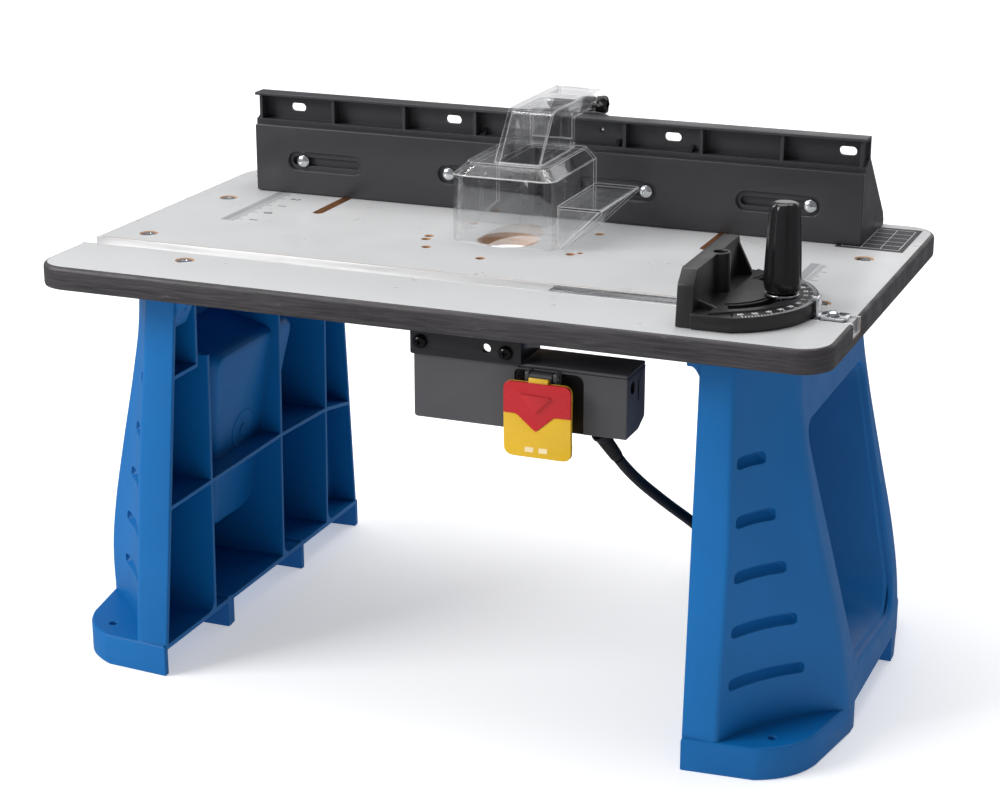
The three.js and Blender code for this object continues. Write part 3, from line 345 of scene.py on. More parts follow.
def mesh_object(name, verts, faces, mat=None, indices=None):
    mesh = bpy.data.meshes.new(name)
    mesh.from_pydata([[c * MM for c in v] for v in verts], [], faces)
    piece = bpy.data.objects.new(name, mesh)
    bpy.context.scene.collection.objects.link(piece)
    for item in mat if isinstance(mat, list) else [mat] if mat else []:
        mesh.materials.append(item)
    if indices:
        mesh.polygons.foreach_set("material_index", indices)
    bm = bmesh.new()
    bm.from_mesh(mesh)
    bmesh.ops.recalc_face_normals(bm, faces=bm.faces)
    bm.to_mesh(mesh)
    bm.free()
    mesh.update()
    return piece


def loft(name, rings, mat=None, indices=None):
    """A closed body through equal-length rings of points."""
    count = len(rings[0])
    verts = [p for ring in rings for p in ring]
    faces = []
    for k in range(len(rings) - 1):
        for i in range(count):
            a, b = k * count + i, k * count + (i + 1) % count
            faces.append((a, b, b + count, a + count))
    faces.append(tuple(reversed(range(count))))
    faces.append(tuple(range((len(rings) - 1) * count, len(rings) * count)))
    return mesh_object(name, verts, faces, mat, indices)


def place(axis, a, b, c):
    """[a, b] on the plane across an axis, c along it, in X, Y, Z order."""
    return {"x": (c, a, b), "y": (a, c, b), "z": (a, b, c)}[axis]


def prism(name, outline, axis, start, end, mat=None):
    return loft(name, [[place(axis, a, b, c) for a, b in outline] for c in (start, end)], mat)


def block(name, x0, x1, y0, y1, z0, z1, mat=None):
    return prism(name, [(x0, y0), (x1, y0), (x1, y1), (x0, y1)], "z", z0, z1, mat)


def turned(name, profile, axis, centre, sides=48, mat=None):
    """A lathe body. The profile's points are [radius, place along the axis], on the axis at both ends."""
    a0, b0 = centre
    verts, faces, rows = [], [], []
    for r, c in profile:
        if r < 1e-6:
            rows.append([len(verts)] * sides)
            verts.append(place(axis, a0, b0, c))
        else:
            rows.append(list(range(len(verts), len(verts) + sides)))
            for i in range(sides):
                t = 2 * PI * i / sides
                verts.append(place(axis, a0 + r * math.cos(t), b0 + r * math.sin(t), c))
    for low, high in zip(rows, rows[1:]):
        for i in range(sides):
            j = (i + 1) % sides
            loop = [low[i], low[j], high[j], high[i]]
            face = [v for k, v in enumerate(loop) if v != loop[k - 1]]
            if len(set(face)) > 2:
                faces.append(tuple(dict.fromkeys(face)))
    return mesh_object(name, verts, faces, mat)


def cylinder(name, axis, r, start, end, centre, sides=48, mat=None, r_end=None):
    top = r if r_end is None else r_end
    return turned(name, [(0, start), (r, start), (top, end), (0, end)], axis, centre, sides, mat)


def arc(cx, cy, r, a0, a1, steps):
    return [
        (cx + r * math.cos(a0 + (a1 - a0) * i / steps), cy + r * math.sin(a0 + (a1 - a0) * i / steps))
        for i in range(steps + 1)
    ]


def rounded_rect(a0, a1, b0, b1, r, steps=8):
    return (
        arc(a1 - r, b0 + r, r, -PI / 2, 0, steps) + arc(a1 - r, b1 - r, r, 0, PI / 2, steps)
        + arc(a0 + r, b1 - r, r, PI / 2, PI, steps) + arc(a0 + r, b0 + r, r, PI, 1.5 * PI, steps)
    )


def stadium(a0, a1, b, width, steps=10):
    return rounded_rect(a0, a1, b - width / 2, b + width / 2, width / 2 - 0.01, steps)


def fillet(points, radii, steps=6):
    """A closed outline with each corner replaced by a smooth arc."""
    out = []
    n = len(points)
    for i, (here, r) in enumerate(zip(points, radii)):
        p = Vector(here)
        if r <= 0:
            out.append(tuple(p))
            continue
        back = (Vector(points[i - 1]) - p)
        ahead = (Vector(points[(i + 1) % n]) - p)
        a = p + back.normalized() * min(r, back.length * 0.49)
        b = p + ahead.normalized() * min(r, ahead.length * 0.49)
        for k in range(steps + 1):
            t = k / steps
            q = a * (1 - t) ** 2 + p * 2 * t * (1 - t) + b * t * t
            out.append(tuple(q))
    return out


def inset(outline, d):
    """A closed outline moved inwards by d, point by point."""
    area = sum(a[0] * b[1] - b[0] * a[1] for a, b in zip(outline, outline[1:] + outline[:1]))
    turn = 1 if area > 0 else -1
    out = []
    for i, p in enumerate(outline):
        a = Vector(outline[i - 1])
        b = Vector(outline[(i + 1) % len(outline)])
        t = (b - a).normalized()
        out.append((p[0] - turn * t.y * d, p[1] + turn * t.x * d))
    return out


def soft_prism(name, outline, axis, start, end, edge=0.6, mat=None, steps=3):
    """A prism with rounded rims."""
    rings = []
    for k in range(steps + 1):
        t = k / steps * PI / 2
        rings.append((edge * (1 - math.sin(t)), start + edge * (1 - math.cos(t))))
    rings += [(d, start + end - c) for d, c in reversed(rings)]
    body = []
    for d, c in rings:
        body.append([place(axis, a, b, c) for a, b in inset(outline, d)])
    return loft(name, body, mat)


def bake(piece):
    graph = bpy.context.evaluated_depsgraph_get()
    graph.update()
    mesh = bpy.data.meshes.new_from_object(piece.evaluated_get(graph))
    piece.modifiers.clear()
    old = piece.data
    piece.data = mesh
    bpy.data.meshes.remove(old)
    return piece


def boolean(piece, others, kind):
    for other in others:
        mod = piece.modifiers.new("cut", "BOOLEAN")
        mod.operation = kind
        mod.solver = "MANIFOLD"
        mod.material_mode = "TRANSFER"
        mod.object = other
    bake(piece)
    for other in others:
        mesh = other.data
        bpy.data.objects.remove(other)
        bpy.data.meshes.remove(mesh)
    if not piece.data.polygons:
        raise RuntimeError(f"{piece.name}: a {kind} left nothing")
    return piece


def cut(piece, *others):
    return boolean(piece, others, "DIFFERENCE")


def join(piece, *others):
    return boolean(piece, others, "UNION")


def overlap(piece, other):
    return boolean(piece, [other], "INTERSECT")


def smooth(piece, angle=32):
    mesh = piece.data
    mesh.polygons.foreach_set("use_smooth", [True] * len(mesh.polygons))
    mesh.set_sharp_from_angle(angle=math.radians(angle))
    return piece


def bevel(piece, width, segments=2, angle=30):
    mod = piece.modifiers.new("bevel", "BEVEL")
    mod.width = width * MM
    mod.segments = segments
    mod.limit_method = "ANGLE"
    mod.angle_limit = math.radians(angle)
    mod.use_clamp_overlap = True
    return piece


def show(piece, nodes, slot=None, body=None):
    """The piece stands for these CAD nodes and moves with their body."""
    nodes = [nodes] if isinstance(nodes, str) else nodes
    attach(piece, body or BODY_OF[nodes[0]])
    if nodes:
        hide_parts(*nodes)
        slot = slot or SLOT_OF[nodes[0]]
    return piece


def extra(piece, body):
    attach(piece, body)
    return piece


def refined(node, mat, width=0.4, segments=2, angle=30):
    """A copy of a CAD node with clean faces and rounded edges."""
    bm = bmesh.new()
    bm.from_mesh(NODES[node].data)
    bmesh.ops.remove_doubles(bm, verts=bm.verts, dist=2e-5)
    bmesh.ops.dissolve_limit(bm, angle_limit=0.01, verts=bm.verts, edges=bm.edges)
    mesh = bpy.data.meshes.new(node + "_shaped")
    bm.to_mesh(mesh)
    bm.free()
    piece = bpy.data.objects.new(node + "_shaped", mesh)
    bpy.context.scene.collection.objects.link(piece)
    mesh.materials.append(mat)
    if width:
        bevel(piece, width, segments, angle)
        bake(piece)
    return show(smooth(piece), node)


def cross_recess(axis, centre, face, out, size, depth):
    """The cutters of a cross-head screw recess, tapered towards its bottom. out is +1 or -1."""
    a, b = centre
    cutters = []
    for w, h in ((size, size * 0.22), (size * 0.22, size)):
        rings = []
        for c, k in ((face + out * 1.5, 1.15), (face - out * depth, 0.45)):
            corners = [(-w * k, -h * k), (w * k, -h * k), (w * k, h * k), (-w * k, h * k)]
            rings.append([place(axis, a + u, b + v, c) for u, v in corners])
        cutters.append(loft("recess", rings))
    return cutters


def text_piece(name, text, size, place_mm, mat, turn=0.0, depth=0.03):
    """Flat printed figures, built as a mesh."""
    curve = bpy.data.curves.new(name, "FONT")
    curve.body = text
    curve.size = size * MM
    curve.align_x = "CENTER"
    curve.align_y = "CENTER"
    curve.extrude = depth * MM
    curve.offset = size * 0.018 * MM
    holder = bpy.data.objects.new(name, curve)
    bpy.context.scene.collection.objects.link(holder)
    graph = bpy.context.evaluated_depsgraph_get()
    mesh = bpy.data.meshes.new_from_object(holder.evaluated_get(graph))
    bpy.data.objects.remove(holder)
    matrix = Matrix.Translation(Vector(place_mm) * MM) @ Matrix.Rotation(turn, 4, "Z")
    mesh.transform(matrix)
    mesh.materials.clear()
    mesh.materials.append(mat)
    piece = bpy.data.objects.new(name, mesh)
    bpy.context.scene.collection.objects.link(piece)
    return piece


def merged(name, parts):
    """Several meshes as one piece, without a boolean."""
    bm = bmesh.new()
    mats = []
    for part in parts:
        offset = {}
        for i, mat in enumerate(part.data.materials):
            if mat not in mats:
                mats.append(mat)
            offset[i] = mats.index(mat)
        before = len(bm.faces)
        bm.from_mesh(part.data)
        bm.faces.ensure_lookup_table()
        for face in bm.faces[before:]:
            face.material_index = offset.get(face.material_index, 0)
        mesh = part.data
        bpy.data.objects.remove(part)
        bpy.data.meshes.remove(mesh)
    mesh = bpy.data.meshes.new(name)
    bm.to_mesh(mesh)
    bm.free()
    for mat in mats:
        mesh.materials.append(mat)
    piece = bpy.data.objects.new(name, mesh)
    bpy.context.scene.collection.objects.link(piece)
    return piece


def hermite(table, z):
    """A smooth curve through [input, output] points."""
    xs = [p[0] for p in table]
    ys = [p[1] for p in table]
    if z <= xs[0]:
        return ys[0]
    if z >= xs[-1]:
        return ys[-1]
    i = max(k for k in range(len(xs) - 1) if xs[k] <= z)
    slope = [(ys[k + 1] - ys[k]) / (xs[k + 1] - xs[k]) for k in range(len(xs) - 1)]
    tangent = [slope[0]] + [(a + b) / 2 for a, b in zip(slope, slope[1:])] + [slope[-1]]
    h = xs[i + 1] - xs[i]
    t = (z - xs[i]) / h
    return (
        (2 * t**3 - 3 * t**2 + 1) * ys[i] + (t**3 - 2 * t**2 + t) * h * tangent[i]
        + (-2 * t**3 + 3 * t**2) * ys[i + 1] + (t**3 - t**2) * h * tangent[i + 1]
    )


# ------------------------------------------------------------------ tabletop

LEG_SCREWS = [
    (sx * x, y) for x, y in ((270.9, 66), (270.9, -66), (203.5, 128.7), (203.5, -128.7)) for sx in (-1, 1)
]
ROUTER_HOLES = [
    (-50.8, -23.7, 3.3), (-61, -1, 3.3), (-62.5, 8.9, 3.3), (1, -40.4, 3.3),
    (60.1, -3.8, 3.3), (66.1, 1.8, 2.0), (60.2, 63.2, 3.3), (-46, 60, 3.3),
]
CLAMPS = [(-177.7, 42.0), (150.5, 47.0)]
TRACK_Y = -98.75


def make_tabletop():
    outline = rounded_rect(-305, 305, -182.5, 182.5, 25, 18)
    levels = [
        (2.2, BOTTOM), (0.5, BOTTOM + 0.7), (0, BOTTOM + 2.4), (0, TOP - 3.4), (0.5, TOP - 1.6),
        (1.9, TOP - 0.25), (2.9, TOP)
    ]
    rings = [[(x, y, z) for x, y in inset(outline, d)] for d, z in levels]
    count = len(outline)
    indices = [1] * (count * (len(levels) - 1)) + [2, 0]
    top = loft("tabletop_board", rings, [MAT["laminate"], MAT["edge"], MAT["black"]], indices)
    core = MAT["board"]
    half = 9.75 + 1.2 + GAP
    cutters = [
        block("groove", -330, 330, TRACK_Y - half, TRACK_Y + half, TOP - 11.5, TOP + 5, core),
        cylinder("opening", "z", 24, BOTTOM - 2, TOP + 2, (0, 20), 96, core),
        turned(
            "seat", [(0, BOTTOM - 2), (79, BOTTOM - 2), (79, BOTTOM + 8), (0, BOTTOM + 8)], "z", (0, 20),
            96, core
        ),
    ]
    for x, y, r in ROUTER_HOLES:
        cutters.append(
            turned(
                "hole",
                [(0, BOTTOM - 2), (r, BOTTOM - 2), (r, TOP - 0.6), (r + 0.9, TOP + 0.3), (0, TOP + 0.3)],
                "z", (x, y), 40, core
            )
        )
    for x, y in LEG_SCREWS:
        profile = [(0, BOTTOM - 2), (2.9, BOTTOM - 2), (2.9, TOP - 4.5), (7.9, TOP + 0.5), (0, TOP + 0.5)]
        cutters.append(turned("sink", profile, "z", (x, y), 48, core))
    for x, front in CLAMPS:
        outline = [(b, a) for a, b in stadium(front, 168, x, 8.8, 12)]
        cutters.append(prism("clamp_slot", outline, "z", BOTTOM - 2, TOP + 2, core))
    cut(top, *cutters)
    show(smooth(top, 40), "tabletop")


def make_printed_marks():
    """Inch scales with plain figures, and a dark sticker with a grid of fine lines."""
    z = TOP + 0.02
    inch = 25.4
    dark, white = MAT["print_dark"], MAT["white"]
    parts = []

    def strip(x0, x1, y0, y1, mat, height=0.05, base=z):
        parts.append(block("mark", x0, x1, y0, y1, base, base + height, mat))

    for x0, x1, y0, start, steps in ((-241.3, -234.2, 4.2 - 5 * inch / 16, -2, 33), (237, 244, -9, 0, 15)):
        y1 = y0 + steps * inch / 8
        strip(x0, x1, y0, min(y1, 101.5), MAT["print_grey"], 0.03)
        for k in range(steps):
            y = y0 + k * inch / 8
            if y > min(y1, 101):
                break
            long = (k + start) % 8 == 0
            mid = (k + start) % 4 == 0
            reach = 9.5 if long else 7 if mid else 4.5
            strip(x1 + 0.8, x1 + 0.8 + reach, y - 0.3, y + 0.3, dark)
    for text, y in (("1", 4.2), ("0", 29.6), ("1", 55.0), ("2", 80.4)):
        parts.append(text_piece("figure", text, 10.5, (-215.5, y, z), dark, turn=-PI / 2))
    strip(241, 294, 94, 168, MAT["sticker"], 0.12)
    for k in range(6):
        y = 99 + k * 12.5
        strip(245, 290, y, y + 0.5, white, 0.05, z + 0.12)
    for x in (245, 260, 275, 289.5):
        strip(x, x + 0.5, 99, 162, white, 0.05, z + 0.12)
    marks = merged("printed_scale", parts)
    extra(marks, "table")


def make_track():
    inner, outer = 9.75, 10.95
    floor = TOP - 10
    profile = [
        (TRACK_Y - outer, floor - 1.2), (TRACK_Y + outer, floor - 1.2), (TRACK_Y + outer, TOP - 0.05),
        (TRACK_Y + inner, TOP - 0.05), (TRACK_Y + inner, floor + 0.5), (TRACK_Y + inner - 0.5, floor),
        (TRACK_Y - inner + 0.5, floor), (TRACK_Y - inner, floor + 0.5), (TRACK_Y - inner, TOP - 0.05),
        (TRACK_Y - outer, TOP - 0.05),
    ]
    track = prism("track_channel", profile, "x", -304.8, 304.8, MAT["aluminium"])
    bevel(track, 0.2, 2, 40)
    show(smooth(bake(track)), "miter_track")


def make_leg_screws():
    top = TOP - 0.35
    for i in range(8):
        x, y = LEG_SCREWS[i]
        name = f"leg_screw_{i + 1}"
        low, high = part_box(name)
        x, y = (low.x + high.x) / 2 / MM, (low.y + high.y) / 2 / MM
        profile = [(0, top - 34), (1.2, top - 33), (2.1, top - 31)]
        for k in range(22):
            profile += [(2.25, top - 30.5 + k * 1.15), (1.75, top - 29.95 + k * 1.15)]
        profile += [
            (2.2, top - 4.6), (5.7, top - 0.9), (5.95, top - 0.4), (5.5, top - 0.05), (3, top), (0, top)
        ]
        screw = turned(name + "_body", profile, "z", (x, y), 32, MAT["zinc"])
        cut(screw, *cross_recess("z", (x, y), top, 1, 3.0, 2.2))
        show(smooth(screw, 30), name)


# ------------------------------------------------------------------ legs

SIDE_X = [
    (21.5, 309.5), (25, 309.4), (65, 305.8), (105, 298.8), (160, 285.9), (220, 273.6), (260, 267.5),
    (307, 266)
]
SIDE_HALF = [(25, 84.5), (65, 91), (105, 95), (160, 99), (220, 98), (260, 96), (307, 94)]
FRONT_X = [(26, 236), (162, 236), (293, 231), (307, 230)]
SCOOP = [(25, 16), (180, 9), (307, 3)]
LEG_TOP = BOTTOM - GAP


def linear(table, z):
    return float(np.interp(z, [p[0] for p in table], [p[1] for p in table]))


def side_x(z):
    return hermite(SIDE_X, z)


def panel_curve(z, shrink=0.0):
    """Start, control and end of the scooped panel's level curve on the right leg's front half."""
    y = 175.7 - 0.1112 * z - shrink
    front = Vector((linear(FRONT_X, z) - shrink * 0.4, -y))
    side = Vector((side_x(z) - shrink, -hermite(SIDE_HALF, z) + shrink * 0.4))
    run = side - front
    inward = Vector((-run.y, run.x)).normalized()
    pull = (front + side) / 2 + inward * linear(SCOOP, z)
    return front, pull, side


def curve_point(curve, t):
    a, c, b = curve
    return a * (1 - t) ** 2 + c * 2 * t * (1 - t) + b * t * t


def curve_dir(curve, t):
    a, c, b = curve
    return ((c - a) * (1 - t) + (b - c) * t).normalized()


def leg_ring(z, shrink=0.0):
    curve = panel_curve(z, shrink)
    front, _, side = curve
    inner = 210 - 0.0124 * z - (20 if shrink else 0)
    length = (side - front).length
    t1, t2 = 3.4 / length, 1 - 6.5 / length
    half = []
    corner = Vector((inner, front.y))
    for k in range(4):
        t = k / 3
        a, b = corner + Vector((0, 1.2)), corner + Vector((1.2, 0))
        half.append(a * (1 - t) ** 2 + corner * 2 * t * (1 - t) + b * t * t)
    for k in range(6):
        t = k / 5
        a, b = front - Vector((3.4, 0)), curve_point(curve, t1)
        half.append(a * (1 - t) ** 2 + front * 2 * t * (1 - t) + b * t * t)
    for k in range(1, 12):
        half.append(curve_point(curve, t1 + (t2 - t1) * k / 12))
    for k in range(8):
        t = k / 7
        a, b = curve_point(curve, t2), side + Vector((0, 6.5))
        half.append(a * (1 - t) ** 2 + side * 2 * t * (1 - t) + b * t * t)
    other = [Vector((p.x, -p.y)) for p in reversed(half)]
    return [(p.x, p.y, z) for p in half + other]


def leg_levels(low, high, count):
    return [low + (high - low) * k / (count - 1) for k in range(count)]


POCKET = [  # y, z and corner size at the floor, then at the mouth
    ((-36, 72), (-56, 50), 10), ((36, 72), (66, 42), 26), ((66, 226), (85, 240), 14),
    ((-66, 226), (-85, 240), 14),
]


def pocket_ring(reach, grow, shift, steps=8):
    """Round-cornered ring between the pocket's sloping floor (0) and its mouth (1)."""
    def at(level):
        corners = [Vector(a).lerp(Vector(b), level) for a, b, _ in POCKET]
        return fillet([tuple(c) for c in corners], [r for _, _, r in POCKET], steps)

    floor_ring, mouth_ring = at(0.0), at(1.0)
    ring = []
    for (y0, z0), (y1, z1) in zip(floor_ring, mouth_ring):
        x0 = 216 + (228 - z0) * 0.171
        x1 = side_x(z1)
        ring.append(Vector((x0 + (x1 - x0) * reach + shift, y0 + (y1 - y0) * reach, z0 + (z1 - z0) * reach)))
    outline = [(p.y, p.z) for p in ring]
    moved = inset(outline, -grow)
    return [(p.x, a, b) for p, (a, b) in zip(ring, moved)]


def pocket_body(name, wall):
    """The pocket's space, or with a wall round it the block that its skin is cut from."""
    rings = [
        pocket_ring(0, wall - 7, -wall), pocket_ring(0, wall - 3.4, 0.9 - wall),
        pocket_ring(0, wall - 1.2, 2.8 - wall),
        pocket_ring(0.06, wall - 0.2, 1.0 - wall * 0.5), pocket_ring(0.2, wall, 0), pocket_ring(0.5, wall, 0),
        pocket_ring(0.9, wall, 0),
    ]
    if wall:
        rings.append(pocket_ring(1.0, wall, 4))
    else:
        rings += [
            pocket_ring(1.0, 0.0, -4.2), pocket_ring(1.0, 0.5, -2.4), pocket_ring(1.0, 1.6, -0.9),
            pocket_ring(1.0, 3.4, 0.2), pocket_ring(1.0, 9.0, 2.2), pocket_ring(1.0, 12.0, 9.0),
        ]
    return loft(name, rings)


GRIPS = [(225, 27), (183, 36), (143, 46), (103, 57), (64, 66)]


def grip_body(name, z, length, grow, mirror):
    """A finger recess in the scooped panel: deep under its top edge, running out below."""
    curve = panel_curve(z)
    run = (curve[2] - curve[0]).length
    first = (0.06 * run + 2.0 - grow) / run
    last = (0.06 * run + 2.0 + length + grow) / run
    rings = []
    steps = 16
    for k in range(steps + 1):
        u = k / steps
        t = first + (last - first) * (1 - math.cos(PI * u)) / 2
        p = curve_point(curve, t)
        d = curve_dir(curve, t)
        out = Vector((d.y, -d.x))
        along = abs(2 * (t - first) / (last - first) - 1)
        reach = (last - first) * run / 2
        end = max(0.0, (along * reach - (reach - 4.5 - grow)) / (4.5 + grow))
        size = max(0.12, math.sqrt(max(0.0, 1 - end * end)))
        rise = 1.6 * (1 - (2 * u - 1) ** 2)
        section = [
            (6, 4.9), (0.5, 4.6), (-3.6, 4.1), (-5.6, 2.6), (-5.9, 0.8), (-4.6, -1.4), (-1.6, -3.9),
            (1.0, -5.0), (6, -5.6)
        ]
        ring = []
        for n, h in section:
            depth = (n - (grow if n < 1 else 0)) * (size if n < 1 else 1)
            height = h + (grow if h > 0 else -grow) * 1.0
            q = p + out * depth
            ring.append((q.x, q.y * mirror, z + rise + height * (0.35 + 0.65 * size)))
        rings.append(ring)
    return loft(name, rings)


def foot_outline(edge_in, steps=10):
    edge = 175.5 - edge_in
    points = [(210.0 if not edge_in else 200.0, -edge), (263 - edge_in, -172 + edge_in)]
    start, control, end = Vector(points[1]), Vector((291 - edge_in, -161 + edge_in)), Vector(
        (299 - edge_in, -132 + edge_in)
    )
    for k in range(1, steps + 1):
        t = k / steps
        q = start * (1 - t) ** 2 + control * 2 * t * (1 - t) + end * t * t
        points.append(tuple(q))
    points += [
        (309.5 - edge_in, -73 + edge_in * 0.2), (309.5 - edge_in, -62 - edge_in),
        (210.0 if not edge_in else 200.0, -62 - edge_in),
    ]
    return points


def foot_body(mirror):
    outline = foot_outline(0)
    rings = []
    for d, z in ((0.8, 0), (0, 1.0), (0, 23.2), (0.4, 24.3), (1.6, 25)):
        rings.append([(x, y * mirror, z) for x, y in inset(outline, d)])
    foot = loft("foot", rings)
    hollow = prism("foot_hollow", [(x, y * mirror) for x, y in foot_outline(4)], "z", -1, 21)
    hole = turned(
        "foot_hole", [(0, 15), (3.3, 15), (3.3, 24.2), (4.3, 26), (0, 26)], "z", (270.8, -150 * mirror), 32
    )
    return cut(foot, hollow, hole)


def thin_rib(name, y, z0, z1):
    return block(name, 205, 320, y - 1.5, y + 1.5, z0, z1)


def make_leg():
    levels = leg_levels(21.5, LEG_TOP, 34)
    outer = loft("leg_outer", [leg_ring(z) for z in levels])
    hollow_levels = leg_levels(25, LEG_TOP - 4, 34)
    hollow = loft("leg_hollow", [leg_ring(z, 3.5) for z in hollow_levels])

    def inside(piece):
        limit = outer.copy()
        limit.data = outer.data.copy()
        bpy.context.scene.collection.objects.link(limit)
        return overlap(piece, limit)

    additions = [inside(pocket_body("pocket_wall", 3.0))]
    ribs = [thin_rib("rib", y, 24, 240) for y in (-93, 28, 113)]
    ribs += [thin_rib("rib", y, 236, LEG_TOP) for y in (-111, 111)]
    shelf = [(-170, 133), (28, 133), (113, 129), (170, 119), (170, 122), (113, 132), (28, 136), (-170, 136)]
    ribs.append(prism("shelf", shelf, "x", 205, 320))
    ribs += [block("shelf", 205, 320, -160, -109.5, 235, 238), block("shelf", 205, 320, 109.5, 160, 235, 238)]
    for rib in ribs:
        additions.append(inside(rib))
    for y, side in ((28, 1), (-93, -1), (113, 1)):
        root = [(y, 24), (y + side * 11, 24), (y + side * 11, 25.2)]
        root += [
            (
                y + side * (11 - 9.5 * math.sin(t)), 25.2 + 10 * (1 - math.cos(t))
            ) for t in (0.3, 0.6, 0.9, 1.2, PI / 2)
        ]
        root.append((y, 36))
        additions.append(inside(prism("rib_root", root, "x", 205, 300)))
    recesses = []
    for mirror in (1, -1):
        for z, length in GRIPS:
            additions.append(inside(grip_body("grip_back", z, length, 2.4, mirror)))
            recesses.append(grip_body("grip", z, length, 0.0, mirror))
    tab = fillet(
        [(196.5, LEG_TOP), (211, LEG_TOP), (211, LEG_TOP - 34), (203, LEG_TOP - 15), (196.5, LEG_TOP - 15)],
        [0.5, 0, 0, 9, 1.5], 6
    )
    additions += [
        block("top_flange", 209, 283, -92, 92, LEG_TOP - 6, LEG_TOP), foot_body(1), foot_body(-1),
        prism("tab", tab, "y", -141, -118), prism("tab", tab, "y", 118, 141),
        block("plate", 210, 237, -72, -66, 0, 26), block("plate", 210, 237, 61, 66, 0, 26),
    ]
    tilt = Matrix.Rotation(-math.atan(0.171), 4, "Y")
    boss = turned(
        "boss",
        [
            (0, -4), (17, -4), (17, 0.5), (16.4, 1.0), (15.4, 0.8), (4.6, 0.7), (4.2, 2.2), (2.6, 2.4),
            (2.2, 1.4), (0, 1.4)
        ],
        "x", (0, 0), 48
    )
    boss.data.transform(Matrix.Rotation(PI, 4, "Z"))
    boss.data.transform(tilt)
    boss.data.transform(Matrix.Translation(Vector((226.6, -8, 150)) * MM))
    additions.append(boss)
    leg = cut(outer, hollow)
    join(leg, *additions)
    holes = [cylinder("hole", "z", 2.9, 270, LEG_TOP + 1, (abs(x), y), 24) for x, y in LEG_SCREWS if x > 0]
    cut(leg, pocket_body("pocket_space", 0.0), *recesses, *holes)
    leg.data.materials.clear()
    leg.data.materials.append(MAT["blue"])
    leg.data.polygons.foreach_set("material_index", [0] * len(leg.data.polygons))
    return leg


def make_legs():
    right = make_leg()
    right.name = "leg_shell_right"
    left = bpy.data.objects.new("leg_shell_left", right.data.copy())
    bpy.context.scene.collection.objects.link(left)
    left.data.transform(Matrix.Diagonal((-1, 1, 1, 1)))
    left.data.flip_normals()
    show(smooth(right, 26), "leg_right")
    show(smooth(left, 26), "leg_left")


# ------------------------------------------------------------------ fence

FACE_TOP = 382.0
FRAME_TOP = 408.2
BOLT_Z = 353.1
FACE_BOLTS = (-218.4, -85.5, 84.9, 218.8)
THROAT_X = -5.0
BASE = TOP + 0.5


def make_fence_frame():
    left, right, back = -263, 260, 178
    wall_front, wall_back = 106.3, 120
    mat = MAT["black"]
    frame_top = [
        (104.0, FRAME_TOP - 2.4), (wall_back, FRAME_TOP - 2.4), (wall_back, FRAME_TOP), (104.0, FRAME_TOP)
    ]
    frame_piece = prism("fence_channel", fillet(frame_top, [0.8, 0.3, 0.8, 0.8], 3), "x", left, right, mat)
    parts = [
        block("wall", left, right, wall_front, wall_front + 6, BASE, 386, mat),
        block("ledge", left, right, wall_front, wall_back, 381, 386, mat),
        block("web", left, right, wall_back - 3, wall_back, 381, FRAME_TOP - 0.3, mat),
        block("base", left, right, wall_front, back, BASE, BASE + 5, mat),
    ]
    for x in (-259, -192, -127.4, -64.2, 64.4, 128, 193.2, 256):
        root = [(x - 1.3, 106.8), (x + 1.3, 106.8), (x + 1.3, 119), (x - 1.3, 119)]
        parts.append(prism("rib", root, "z", 385, FRAME_TOP - 1, mat))
    gusset = fillet([
        (wall_front + 2, BASE + 2), (back - 0.5, BASE + 2), (back - 1.5, BASE + 9), (wall_back - 1, 392),
        (wall_front + 2, 386),
    ], [0, 0, 4, 3, 0], 5)
    for x in (left + 1.6, -128, -58, 57, 118, right - 1.6):
        parts.append(prism("gusset", gusset, "x", x - 1.6, x + 1.6, mat))
    join(frame_piece, *parts)
    throat = [(THROAT_X - 30, BASE - 1), (THROAT_X + 30, BASE - 1)] + arc(THROAT_X, 346, 30, 0, PI, 28)
    cutters = [prism("throat", throat, "y", wall_front - 1, 136)]
    for x in FACE_BOLTS:
        cutters.append(cylinder("hole", "y", 3.4, wall_front - 1, wall_front + 8, (x, BOLT_Z), 32))
    for x in (-229, -87, 101.5, 242.7):
        cutters.append(prism("oval", stadium(x - 7, x + 7, 395.5, 7, 10), "y", wall_back - 5, wall_back + 2))
    for x, _ in CLAMPS:
        cutters.append(cylinder("hole", "z", 4.2, BASE - 1, BASE + 7, (x, 152), 32))
    for x in (-20, 42):
        cutters.append(cylinder("hole", "y", 2, wall_back - 4, wall_back + 1, (x, 397), 24))
    cut(frame_piece, *cutters)
    show(smooth(frame_piece), "fence_frame")


def make_fence_face(node, x0, x1, slots):
    y0, y1 = 100, 106
    low = BASE + 0.2
    board = soft_prism(
        "board_" + node, rounded_rect(x0, x1, low, FACE_TOP, 1.5, 4), "y", y0, y1, 0.7, MAT["face"]
    )
    cutters = []
    for s0, s1 in slots:
        rim = stadium(s0, s1, BOLT_Z, 15.4, 12)
        rings = []
        for c, d in ((y0 - 1, -1.7), (y0 + 0.1, -0.6), (y0 + 0.8, 0), (y0 + 2.8, 0)):
            rings.append([place("y", a, b, c) for a, b in inset(rim, d)])
        cutters.append(loft("recess", rings))
        cutters.append(prism("through", stadium(s0 + 3, s1 - 3, BOLT_Z, 7.4, 10), "y", y0, y0 + 8))
    cut(board, *cutters)
    show(smooth(board), node)


def lobed(radius, lobes, dip, steps=120):
    """Outline of a hand knob with round lobes."""
    out = []
    for i in range(steps):
        t = 2 * PI * i / steps
        r = radius * (1 - dip / 2 + dip / 2 * math.cos(lobes * t))
        out.append((r * math.cos(t), r * math.sin(t)))
    return out


